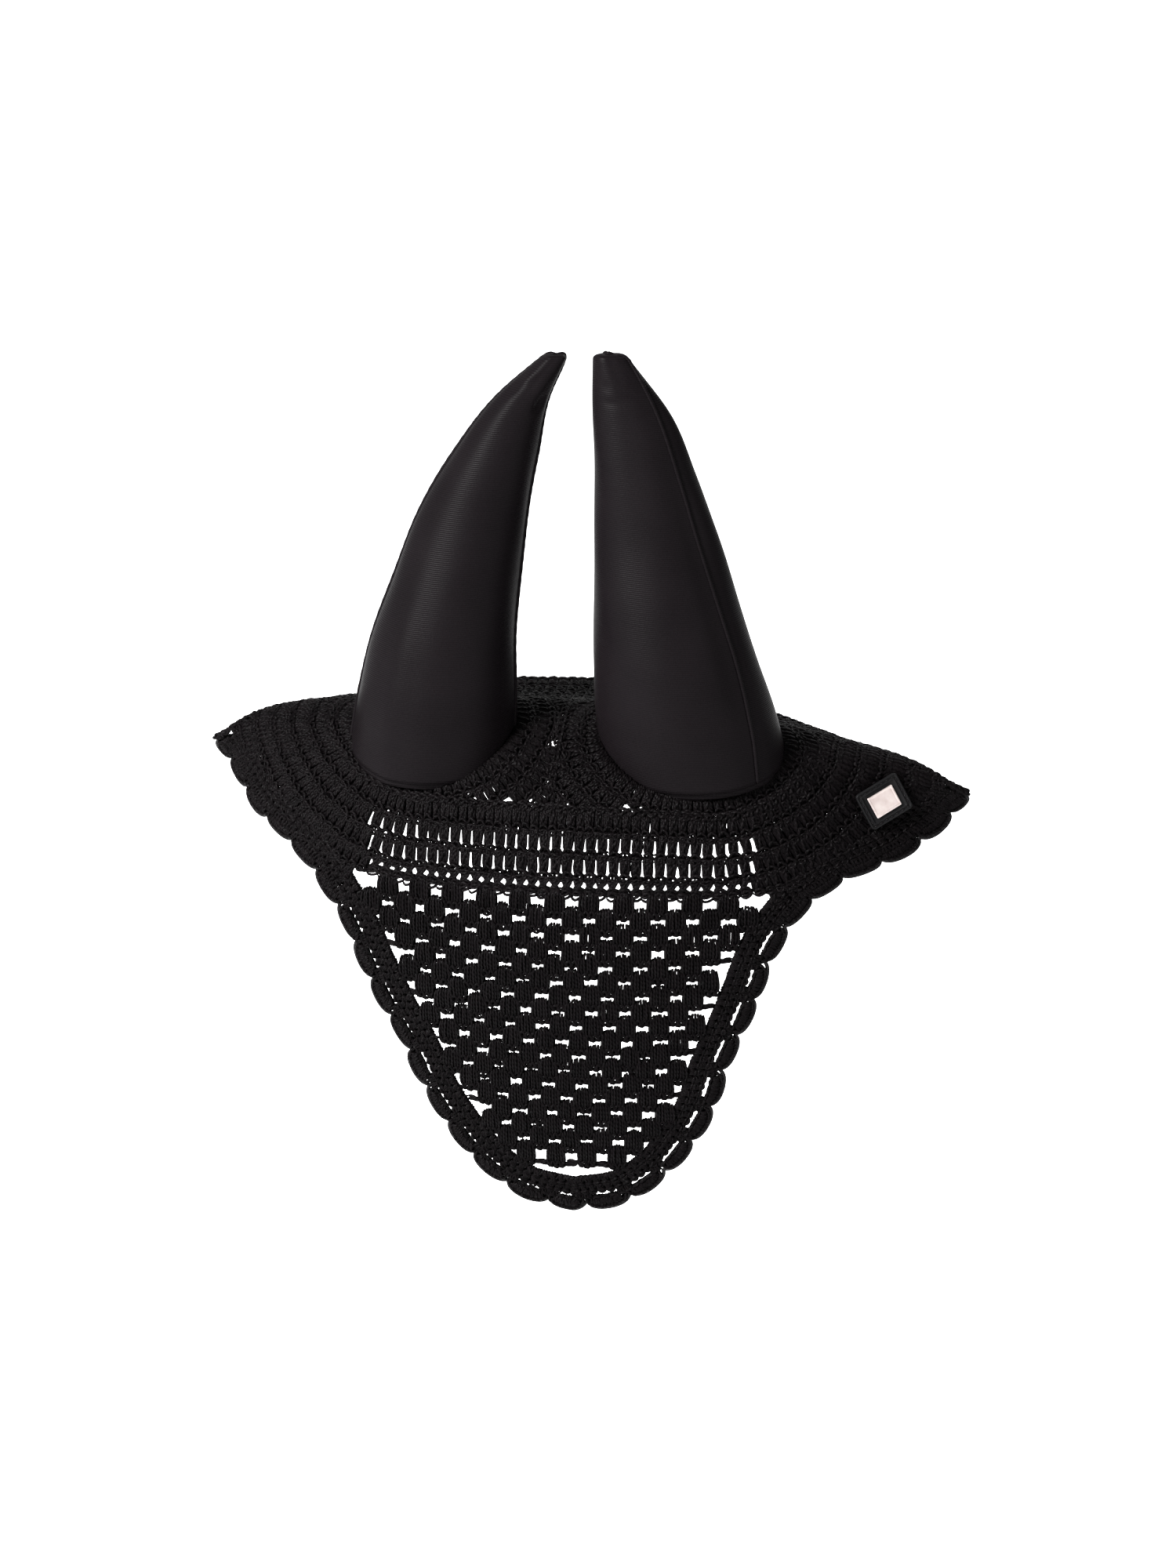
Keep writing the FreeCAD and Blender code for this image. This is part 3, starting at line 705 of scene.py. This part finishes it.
bandSpec = {
    "side": 127, "front": 75.5, "corner": 52, "height": 11.7, "rows": 6, "footRow": 110.6, "footSquash": 0.76,
    "openSpan": 101, "openPitch": 5.9, "closedPitch": 4.7, "radius": 0.78,
    "airyWidth": 26, "lowest": 119, "rimGap": 5.5, "nape": -70}


# The U that a row follows: forward from the nape, across the brow and back
def bandLine(row):
    spec = bandSpec
    grow = row * spec["height"]
    side, front, corner = spec["side"] + grow, spec["front"] + grow, spec["corner"] + grow
    turn = np.linspace(0, np.pi / 2, 30)
    back = np.linspace(spec["nape"], front - corner, 30, endpoint=False)
    right = [(side, along) for along in back]
    right += [(side - corner + corner * math.cos(a), front - corner + corner * math.sin(a)) for a in turn]
    right += [(across, front) for across in np.linspace(side - corner, 0, 20)[1:]]
    right = np.array(right)
    left = right[::-1][1:] * [-1, 1]
    return RowLine(np.concatenate([right, left]), facing=(len(right) - 1, (0, 1)))


# Squeezes the last row above the mesh
def foot(flat):
    low = bandSpec["footRow"]
    along = np.where(flat[..., 1] > low, low + (flat[..., 1] - low) * bandSpec["footSquash"], flat[..., 1])
    return np.stack([flat[..., 0], along], -1)


def makeBand():
    skeins = {"left_wing_yarn": Skein(), "brow_band_yarn": Skein(), "right_wing_yarn": Skein()}
    spec = bandSpec

    def allowed(flat):
        inside = insideEdge(flat, borderWidth - 1.5) & (flat[..., 1] < spec["lowest"])
        return inside & (flat[..., 1] > rimAlong(flat[..., 0]) + spec["rimGap"])

    def awayFromRim(flat):
        return flat[..., 1] > rimAlong(flat[..., 0]) + spec["airyWidth"]

    for row in range(spec["rows"]):
        middleStitch = {1: openStitch, 2: openStitch, 3: slantStitch}.get(row, denseStitch)
        line = bandLine(row)
        wing, middle = spec["side"] - 2, spec["openSpan"]
        zones = [
            ("left_wing_yarn", -np.inf, -wing, denseStitch), ("brow_band_yarn", -wing, -middle, denseStitch),
            ("brow_band_yarn", -middle, middle, middleStitch), ("brow_band_yarn", middle, wing, denseStitch),
            ("right_wing_yarn", wing, np.inf, denseStitch)]
        for name, low, high, stitch in zones:
            def inZone(flat, low=low, high=high):
                return allowed(flat) & (flat[..., 0] >= low) & (flat[..., 0] < high)

            placeStitches(
                skeins[name], line, spec["height"], stitch,
                spec["closedPitch"] if stitch is denseStitch else spec["openPitch"],
                keep=inZone, radius=spec["radius"], warp=foot, backed=awayFromRim)
    return [skein.piece(name) for name, skein in skeins.items()]


pivotRise = 33  # how far the ear's pivot lies over its base
ears = {}
for sideName, inward in (("left", 1), ("right", -1)):
    pivot = np.array(joints[f"{sideName}_ear_tilt"]["pos_m"]) / mm
    axis = np.array(joints[f"{sideName}_ear_swivel"]["axis"])
    ears[sideName] = {"pivot": pivot, "axis": axis, "base": pivot - axis * pivotRise, "inward": inward}
ringSpec = {
    "along": 25, "deep": 42, "wide": {"left": 45, "right": 49}, "height": 10.4, "rows": 4, "middle": -4,
    "inset": 1.5, "sectors": 12, "overlap": 0.09, "bendFrom": 1.5, "bendTo": 12.4}


def ringLine(sideName, row):
    spec = ringSpec
    turn = np.linspace(0, 2 * np.pi, 120, endpoint=False)
    wide = spec["wide"][sideName] - spec["inset"] + row * spec["height"]
    deep = spec["deep"] - spec["inset"] + row * spec["height"]
    middle = ears[sideName]["base"][0]
    points = np.stack([middle + wide * np.cos(turn), spec["along"] + deep * np.sin(turn)], -1)
    return RowLine(points, facing=(0, (1, 0)), closed=True)


def insideBand(flat):
    spec = bandSpec
    corner = spec["corner"]
    sideways = np.abs(flat[..., 0]) - (spec["side"] - corner)
    forward = flat[..., 1] - (spec["front"] - corner)
    inCorner = np.hypot(np.maximum(sideways, 0), np.maximum(forward, 0)) < corner + 2
    inSides = (sideways < corner + 3) & (forward < corner - 1)
    return np.where((sideways > 0) & (forward > 0), inCorner, inSides)


napeSpec = {"line": -36, "overlap": 7, "rows": 5, "height": 11.5, "reach": 186, "fromRim": 2.2, "pitch": 5.8}


def makeRings():
    collars, crown = {}, Skein()
    for sideName, ear in ears.items():
        def mine(flat, ear=ear):
            ownSide = flat[..., 0] * ear["inward"] < ringSpec["middle"] * ear["inward"]
            return insideBand(flat) & ownSide & (flat[..., 1] > napeSpec["line"])

        centre = np.array([ear["base"][0], ringSpec["along"]])
        sectors = ringSpec["sectors"]
        for sector in range(sectors):
            skein = Skein()

            def inSector(flat, sector=sector):
                step = 2 * np.pi / sectors
                angle = np.arctan2(flat[..., 1] - centre[1], flat[..., 0] - centre[0]) - (sector + 0.5) * step
                return np.abs((angle + np.pi) % (2 * np.pi) - np.pi) < step / 2 + ringSpec["overlap"]

            placeStitches(
                skein, ringLine(sideName, 0), ringSpec["height"], denseStitch, 4.7, keep=inSector, radius=0.8)
            collars[f"{sideName}_collar_yarn_{sector}"] = (skein, sideName, sector)
        for row in range(1, ringSpec["rows"]):
            placeStitches(
                crown, ringLine(sideName, row), ringSpec["height"], denseStitch, 5.0, keep=mine, radius=0.8)
    return collars, crown.piece("crown_yarn")


def makeNape():
    spec = napeSpec
    skein = Skein()
    across = np.linspace(-spec["reach"], spec["reach"], 120)
    for row in range(spec["rows"]):
        low = rimAlong(across) + spec["fromRim"] + row * spec["height"]
        line = RowLine(np.stack([across, low], -1), facing=(60, (0, 1)))

        def allowed(flat):
            inMiddle = np.abs(flat[..., 0]) <= bandSpec["side"] + 2
            return (flat[..., 1] < spec["line"] + spec["overlap"]) & inMiddle

        placeStitches(skein, line, spec["height"], napeStitch, spec["pitch"], keep=allowed, radius=0.78)
    return skein.piece("nape_yarn")


rimSpec = {"reach": 199, "inset": 1.4, "width": 2.6, "pitch": 5.4, "radius": 1.05}
rimStitch = {"braid": [
    [(-0.7, 0.9, -0.6), (-0.3, 0.1, 1.2), (0.2, -0.5, 1.5), (0.7, -0.4, 0.2)],
    [(-0.7, -0.8, -0.6), (-0.2, -0.9, 0.8), (0.3, 0.2, 1.8), (0.75, 0.7, 0.4)],
    [(-0.6, 0.2, -1.2), (0.0, -0.9, -1.0), (0.6, 0.1, -1.3)]]}


# The slip-stitched back edge, a thick braid from tip to tip
def makeRim():
    spec = rimSpec
    skein = Skein()
    across = np.linspace(-spec["reach"], spec["reach"], 160)
    line = RowLine(np.stack([across, rimAlong(across) + spec["inset"]], -1), facing=(80, (0, 1)))
    placeStitches(skein, line, spec["width"], rimStitch, spec["pitch"], radius=spec["radius"])
    return skein.piece("nape_edging_yarn")


ridgeSpec = {"from": -30, "to": 76, "width": 3.2, "pitch": 5.2, "radius": 0.95}
ridgeStitch = {"braid": [
    [(-0.75, 0.5, -0.2), (-0.3, -0.2, 1.8), (0.3, -0.5, 2.0), (0.75, -0.2, 0.2)],
    [(-0.7, -0.6, -0.2), (-0.2, -0.2, 1.4), (0.3, 0.5, 2.0), (0.75, 0.5, 0.2)]]}


# Raised braids where the rings meet the rows across the brow, and along the crest
def makeRidges():
    spec = ridgeSpec
    skein = Skein()

    def allowed(flat):
        return (flat[..., 1] > napeSpec["line"]) & (np.abs(flat[..., 0]) < bandSpec["side"] + 1)

    crest = RowLine([(ringSpec["middle"], along) for along in np.linspace(spec["from"], spec["to"], 60)])
    for line in (bandLine(0), crest):
        placeStitches(
            skein, line, spec["width"], ridgeStitch, spec["pitch"], keep=allowed, radius=spec["radius"])
    return skein.piece("crown_ridge_yarn")


def yarnPieces():
    made = {}
    made["mesh"] = makeFringeMesh()
    shells, sway, size = makeBorder()
    made["shells"] = shells
    made["cord"] = makeBorderCord(sway, size)
    made["edging"] = makeEdging()
    made["leftWing"], made["brow"], made["rightWing"] = makeBand()
    collars, made["crown"] = makeRings()
    made["ridges"] = makeRidges()
    made["nape"] = makeNape()
    made["rim"] = makeRim()
    return made, collars


yarn, collars = yarnPieces()

# The fringe pieces keep their place in the world, and the other pieces go with the headpiece
for key in ("mesh", "shells", "cord", "edging"):
    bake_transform(yarn[key])
for key in ("leftWing", "brow", "rightWing", "crown", "ridges", "nape", "rim"):
    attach(yarn[key], "headpiece")
yarnNodes = {
    "mesh": ["fringe_mesh"], "shells": ["fringe_border", "left_wing_border", "right_wing_border"],
    "cord": ["fringe_cord", "left_wing_cord", "right_wing_cord"], "edging": ["fringe_edging"],
    "leftWing": ["left_wing"], "rightWing": ["right_wing"], "brow": ["brow_band"], "crown": ["crown"],
    "nape": ["nape_panel"], "rim": ["nape_edging"]}
for key, nodes in yarnNodes.items():
    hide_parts(*nodes)
for key, piece in yarn.items():
    "edge_cord" if key == "cord" else "cotton_yarn"

# Each sector of a collar becomes its own piece, lying between the crown and the ear's base
for name, (skein, sideName, sector) in collars.items():
    piece = skein.piece(name)
    angle = (sector + 0.5) * 2 * math.pi / ringSpec["sectors"]
    centre = np.array([ears[sideName]["base"][0], ringSpec["along"]])
    toward = np.array([math.cos(angle), math.sin(angle)])
    inner = centre + toward * (ringSpec["deep"] + ringSpec["bendFrom"])
    outer = centre + toward * (ringSpec["deep"] + ringSpec["bendTo"])
    ends = onForm(np.stack([outer, inner]), np.zeros(2)) * mm
    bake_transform(piece)
    if sector == 0:
        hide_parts(f"{sideName}_ear_collar")
print("crochet ready")

# Each station: height over the base, shift towards the middle, shift back, half width, half depth, lean
earSpec = {
    "left": {"turn": 0, "stations": [
        (0, 0, 0, 44, 40, 16), (29, 3, -5, 41, 37, 10), (56, 6.5, -7, 37.5, 33, 3), (88, 13.5, -7, 33, 28, 0),
        (127, 23.5, -7, 27.5, 22, 0), (157, 34.5, -8, 21.5, 17, 0), (188, 49, -9, 13.2, 11, 0),
        (208, 64, -10, 7, 5.5, 0)]},
    "right": {"turn": 26, "stations": [
        (0, 0, 0, 48, 38, 16), (23, 3.8, -4, 46.6, 36, 10), (52, 8.3, -7, 42.3, 32, 3),
        (83, 13.3, -7, 37.3, 27, 0), (117, 18.3, -7, 32, 21, 0), (151, 24.5, -8, 25.7, 16, 0),
        (183, 31.8, -9, 19.5, 11, 0), (209, 41.5, -10, 9.5, 6, 0)]}}
earCut = {
    "parting": -7, "widest": 0.85, "overlap": 13, "cap": 3.5, "capPower": 3, "thick": 1.3, "columns": 72,
    "rows": 130, "crowding": 1.35, "seamRadius": 1.0, "seamLift": 0.1, "pucker": 0.08,
    "hem": 12, "hemLow": -4, "hemHigh": 15, "hemInset": 1.5, "hemThick": 1.0, "hemColumns": 96, "hemRows": 14}
# Each dent: height, turn round the ear in degrees (-90 is the front), reach up and round in mm, depth
earDents = {
    "left": [
        (187, -38, 3.5, 3.0, 1.5), (196, -60, 5.0, 3.0, -0.5), (194, -130, 3.0, 3.0, 0.8),
        (200, -118, 2.5, 2.5, -0.6), (176, -70, 9.0, 6.0, 0.4), (40, -118, 60.0, 7.0, -1.2),
        (24, -60, 9.0, 16.0, 0.6), (14, -110, 6.0, 18.0, 0.5), (150, -95, 60.0, 9.0, -0.6)],
    "right": [
        (193, -70, 2.0, 4.0, 0.5), (189, -110, 2.0, 5.0, 0.5), (197, -120, 3.0, 3.0, 0.4),
        (70, -42, 60.0, 8.0, 1.6), (30, -60, 8.0, 16.0, 0.7), (20, -120, 5.0, 20.0, 0.5),
        (44, -80, 7.0, 18.0, 0.4), (140, -50, 50.0, 6.0, 1.0)]}


def earValues(sideName, height):
    stations = np.array(earSpec[sideName]["stations"], float)
    top = stations[-1, 0]
    values = smoothPath(stations[:, 1:], stations[:, 0], height)
    over = np.clip((height - top) / earCut["cap"], 0, 1)
    close = (1 - over ** earCut["capPower"]) ** (1 / earCut["capPower"])
    return values, close


# A point of an ear cover's skin, in millimetres
def earPoint(sideName, height, angle, grow=0.0):
    ear = ears[sideName]
    height, angle = np.broadcast_arrays(np.asarray(height, float), np.asarray(angle, float))
    values, close = earValues(sideName, height)
    inward, back, wide, deep, lean = np.moveaxis(values, -1, 0)
    wide, deep, lean = (wide + grow) * close, (deep + grow) * close, np.radians(lean)
    degrees = np.degrees(angle)
    for up, around, reachUp, reachRound, depth in earDents[sideName]:
        turn = (degrees - around + 180) % 360 - 180
        spread = np.radians(turn) * (wide + deep) / 2
        push = depth * np.exp(-((height - up) / reachUp) ** 2 - (spread / reachRound) ** 2)
        wide, deep = wide - push, deep - push
    wave = 0.35 * np.sin(height / 17 + 2 * np.sin(angle * 2)) * np.sin(angle * 3 + height / 31)
    wide, deep = wide + wave * close, deep + wave * close
    x, y = wide * np.cos(angle), deep * np.sin(angle)
    offset = np.stack([ear["inward"] * inward + x, back + y * np.cos(lean), height + y * np.sin(lean)], -1)
    return ear["base"] + offset


# Where the seams lie round the ear at each height: the middle of the back panel and its half angle
def partingAngles(sideName, height):
    ear, spec = ears[sideName], earSpec[sideName]
    tip = spec["stations"][-1]
    axis = np.array([ear["inward"] * tip[1], 0, tip[0]], float)
    axis /= np.linalg.norm(axis)
    turn = math.radians(ear["inward"] * spec["turn"])
    back = np.array([0.0, 1.0, 0.0])
    normal = back * math.cos(turn) + np.cross(axis, back) * math.sin(turn)
    normal += axis * (axis @ back) * (1 - math.cos(turn))
    values, close = earValues(sideName, height)
    inward, backward, wide, deep, lean = np.moveaxis(values, -1, 0)
    lean = np.radians(lean)
    first = normal[0] * wide
    second = (normal[1] * np.cos(lean) + normal[2] * np.sin(lean)) * deep
    centre = np.stack([ear["inward"] * inward, backward - earCut["parting"], height], -1)
    rest = centre @ normal
    reach, widest = np.hypot(first, second), earCut["widest"]
    return np.arctan2(second, first), np.arccos(np.clip(-rest / reach, -widest, widest))


# A thin closed skin over a grid of points, thick inwards from it
def shellPiece(name, points, thick, wrapAround=False):
    rows, columns = points.shape[:2]
    across = np.gradient(points, axis=1)
    if wrapAround:
        across = np.roll(points, -1, 1) - np.roll(points, 1, 1)
    up = np.gradient(points, axis=0)
    normal = np.cross(across, up)
    normal /= np.linalg.norm(normal, axis=-1, keepdims=True) + 1e-9
    centre = points.mean(axis=1, keepdims=True)
    if ((points - centre) * normal).sum() < 0:
        normal = -normal
    inner = points - normal * thick
    verts = np.concatenate([points.reshape(-1, 3), inner.reshape(-1, 3)])
    count = rows * columns
    loops = columns if wrapAround else columns - 1
    row, column = np.meshgrid(np.arange(rows - 1), np.arange(loops), indexing="ij")
    after = (column + 1) % columns
    first, second = row * columns + column, row * columns + after
    third, fourth = second + columns, first + columns
    outer = np.stack([first, second, third, fourth], -1).reshape(-1, 4)
    faces = [outer, outer[:, ::-1] + count]
    line = np.arange(loops)
    after = (line + 1) % columns
    faces.append(np.stack([after, line, line + count, after + count], -1))
    last = (rows - 1) * columns
    faces.append(np.stack([last + line, last + after, last + after + count, last + line + count], -1))
    if not wrapAround:
        side = np.arange(rows - 1) * columns
        faces.append(np.stack([side, side + columns, side + columns + count, side + count], -1))
        side = side + columns - 1
        faces.append(np.stack([side + columns, side, side + count, side + columns + count], -1))
    return makeMesh(name, verts * mm, np.concatenate(faces), material="satin")


# The width, length and area that a panel is cut to
def flatSize(points):
    widths = np.linalg.norm(np.diff(points, axis=1), axis=2).sum(1)
    length = np.linalg.norm(np.diff(points[:, points.shape[1] // 2], axis=0), axis=1).sum()
    area = ((widths[1:] + widths[:-1]) / 2).mean() * length
    return float(widths.max() * mm), float(length * mm), float(area * mm * mm)


def makeEars():
    made = {}
    for sideName in ears:
        top = earSpec[sideName]["stations"][-1][0] + earCut["cap"]
        low = earCut["hem"] - earCut["overlap"]
        rise = np.linspace(0, 1, earCut["rows"])
        heights = low + (top - low) * (1 - (1 - rise) ** earCut["crowding"])
        middle, halfAngle = partingAngles(sideName, heights)
        part = np.linspace(0, 1, earCut["columns"])
        spans = {
            "back": (middle - halfAngle, middle + halfAngle),
            "front": (middle + halfAngle, middle - halfAngle + 2 * np.pi)}
        for panel, (start, end) in spans.items():
            angle = start[:, None] + (end - start)[:, None] * part
            points = earPoint(sideName, heights[:, None], angle)
            piece = shellPiece(f"{sideName}_ear_{panel}_cloth", points, earCut["thick"])
            width, length, area = flatSize(points)
            made[f"{sideName}_{panel}"] = (piece, (width, length), area)
        skein = Skein()
        seam = np.stack([
            earPoint(sideName, heights, middle + way * halfAngle, earCut["seamLift"]) for way in (-1, 1)])
        puckers = earCut["seamRadius"] * (1 + earCut["pucker"] * np.sin(np.arange(len(heights)) * 1.9))
        skein.add(seam, puckers, 10)
        made[f"{sideName}_seam"] = skein.piece(f"{sideName}_ear_seam_roll", "satin")
        angle = np.linspace(0, 2 * np.pi, earCut["hemColumns"], endpoint=False)
        hemHeights = np.linspace(earCut["hemLow"], earCut["hemHigh"], earCut["hemRows"])
        points = earPoint(sideName, hemHeights[:, None], angle[None], -earCut["hemInset"])
        hem = shellPiece(f"{sideName}_ear_hem_cloth", points, earCut["hemThick"], True)
        closed = np.concatenate([points, points[:, :1]], 1)
        width, length, area = flatSize(closed)
        made[f"{sideName}_hem"] = (hem, (width, length), area)
    return made


earPieces = makeEars()
for sideName, ear in ears.items():
    for panel in ("front", "back"):
        piece, flat, area = earPieces[f"{sideName}_{panel}"]
        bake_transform(piece)
        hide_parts(f"{sideName}_ear_{panel}_panel")
        print(piece.name, [round(side * 1000) for side in flat], "mm,", round(area * 1e4), "cm2")
    seam = earPieces[f"{sideName}_seam"]
    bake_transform(seam)
    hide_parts(f"{sideName}_ear_seam_binding")
    hem, flat, area = earPieces[f"{sideName}_hem"]
    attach(hem, f"{sideName}_ear_base")
    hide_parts(f"{sideName}_ear_hem")
print("ear covers ready")

badgeSpec = {
    "across": 160, "along": 55, "lift": 5, "turn": 38, "length": 25, "width": 21, "corner": 2,
    "plate": (15, 12, 0.8), "thick": 1.6, "stitchPitch": 3.3, "stitchInset": 1.5, "threadRadius": 0.32}


# Points round a rectangle with rounded corners
def roundedLoop(length, width, corner, steps=6):
    points = []
    for quarter, (x, y) in enumerate(((1, 1), (-1, 1), (-1, -1), (1, -1))):
        for step in range(steps + 1):
            angle = (quarter + step / steps) * math.pi / 2
            points.append((x * (length / 2 - corner) + corner * math.cos(angle),
                           y * (width / 2 - corner) + corner * math.sin(angle)))
    return points


# World points in millimetres from points on the badge: along it, across it and out of it
def badgePoints(local):
    spec = badgeSpec
    normal = formNormal(spec["across"], spec["along"])
    side = formPoint(spec["across"] + 1, spec["along"]) - formPoint(spec["across"] - 1, spec["along"])
    side -= normal * (side @ normal)
    side /= np.linalg.norm(side)
    up = np.cross(normal, side)
    turn = math.radians(spec["turn"])
    first = side * math.cos(turn) + up * math.sin(turn)
    second = np.cross(normal, first)
    origin = formPoint(spec["across"], spec["along"]) + normal * spec["lift"]
    local = np.asarray(local, float)
    return origin + local[:, :1] * first + local[:, 1:2] * second + local[:, 2:] * normal


# A closed solid through a stack of rounded loops, each with its length, width, corner and height
def ringStack(name, rings, material):
    loops = []
    for length, width, corner, height in rings:
        loops.append([(x, y, height) for x, y in roundedLoop(length, width, corner)])
    count = len(loops[0])
    verts = badgePoints([point for loop in loops for point in loop])
    faces = []
    for level in range(len(loops) - 1):
        for index in range(count):
            after = (index + 1) % count
            base = level * count
            faces.append((base + index, base + after, base + count + after, base + count + index))
    for level, flip in ((0, True), (len(loops) - 1, False)):
        base = level * count
        for index in range(count // 2 - 1):
            quad = (base + index, base + index + 1, base + count - 2 - index, base + count - 1 - index)
            faces.append(quad[::-1] if flip else quad)
    return makeMesh(name, verts * mm, faces, material=material)


def makeBadge():
    spec = badgeSpec
    length, width, corner, thick = spec["length"], spec["width"], spec["corner"], spec["thick"]

    def ring(inset, height):
        return (length - 2 * inset, width - 2 * inset, max(corner - inset * 0.5, 0.3), height)

    patch = ringStack("badge_rubber", [
        ring(0.3, -0.6), ring(0, 0), ring(0, thick - 0.3), ring(0.2, thick), ring(0.9, thick),
        ring(1.1, thick - 0.5), ring(1.9, thick - 0.5), ring(2.1, thick - 0.1), ring(2.7, thick - 0.1),
        ring(2.9, thick - 0.6), ring(4.4, thick - 0.6)], "rubber")
    plateLength, plateWidth, plateThick = spec["plate"]
    base = thick - 0.7
    top = base + plateThick

    def plateRing(inset, height):
        return (plateLength - 2 * inset, plateWidth - 2 * inset, 0.5, height)

    plate = ringStack("badge_metal", [
        plateRing(0.1, base), plateRing(0, base + 0.4), plateRing(0, top), plateRing(0.25, top + 0.2),
        plateRing(1.0, top + 0.2), plateRing(1.15, top + 0.05), plateRing(1.4, top + 0.05)], "plate")
    skein = Skein()
    for stitchSide in (-1, 1):
        for run, across, flip in ((length, width, False), (width, length, True)):
            count = int((run - 5) / spec["stitchPitch"])
            out = stitchSide * (across / 2 - spec["stitchInset"])
            for step in range(count + 1):
                middle = (step - count / 2) * spec["stitchPitch"]
                line = [(middle + shift, thick - sunk) for shift, sunk in (
                    (-1.1, 0.75), (-0.5, 0.2), (0.5, 0.2), (1.1, 0.75))]
                local = [(out, along, rise) if flip else (along, out, rise) for along, rise in line]
                skein.add(badgePoints(local)[None], spec["threadRadius"])
    stitches = skein.piece("badge_thread", "cord")
    for piece, node, slotName in (
            (patch, "badge_patch", "moulded_rubber"), (plate, "badge_plate", "brushed_plate"),
            (stitches, "badge_stitching", "sewing_thread")):
        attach(piece, "headpiece")
        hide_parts(node)


makeBadge()
print("badge ready")

studio = {
    "turn": 8, "rise": 20, "lens": 100, "sensor": 36, "frameHeight": 2000, "scale": 0.41,
    "aim": (8.5, -15, -36), "floorReach": 6.0, "floorLevel": -0.42,
    "floorDark": (0.90, 0.90, 0.90, 1), "floorLight": (0.93, 0.93, 0.93, 1),
    "lights": {
        "keyLight": ((-1.35, -1.5, 1.35), 0.7, 400), "fillLight": ((1.7, -1.3, 0.8), 1.0, 20),
        "backLight": ((0.9, 1.8, 1.4), 0.9, 20)}}  # each light's place, size and power


def makeCamera():
    turn, rise = math.radians(studio["turn"]), math.radians(studio["rise"])
    away = studio["scale"] * studio["lens"] / studio["sensor"] * studio["frameHeight"]
    back = Vector((math.sin(turn) * math.cos(rise), -math.cos(turn) * math.cos(rise), math.sin(rise)))
    data = bpy.data.cameras.new("camera")
    data.lens, data.sensor_width = studio["lens"], studio["sensor"]
    data.clip_end = 20
    camera = bpy.data.objects.new("camera", data)
    camera.location = (Vector(studio["aim"]) + back * away) * mm  # the aim is in millimetres
    camera.rotation_euler = back.to_track_quat("Z", "Y").to_euler()
    bpy.context.scene.collection.objects.link(camera)
    bpy.context.scene.camera = camera


def makeLight(name, place, size, power):
    data = bpy.data.lights.new(name, "AREA")
    data.shape, data.size, data.energy = "DISK", size, power
    light = bpy.data.objects.new(name, data)
    light.location = place
    light.rotation_euler = Vector(place).to_track_quat("Z", "Y").to_euler()
    bpy.context.scene.collection.objects.link(light)


def makeStudio():
    reach, level = studio["floorReach"], studio["floorLevel"]
    verts = [(x * reach, y * reach, level) for x, y in ((-1, -1), (1, -1), (1, 1), (-1, 1))]
    floor = makeMesh("studio_floor", verts, [(0, 1, 2, 3)])
    graph = Graph("paleFloor")
    cloud = graph.noise(3, 2)
    graph.finish(
        Base_Color=graph.mixColour(cloud, studio["floorDark"], studio["floorLight"]), Roughness=0.9)
    floor.data.materials.append(graph.material)
    world = bpy.data.worlds.new("studio")
    bpy.context.scene.world = world
    world.use_nodes = True
    background = world.node_tree.nodes["Background"]
    background.inputs["Color"].default_value = (1, 1, 1, 1)
    background.inputs["Strength"].default_value = 1.0
    bpy.context.scene.view_settings.view_transform = "Standard"
    for name, (place, size, power) in studio["lights"].items():
        makeLight(name, place, size, power)


makeCamera()
makeStudio()
print("done")
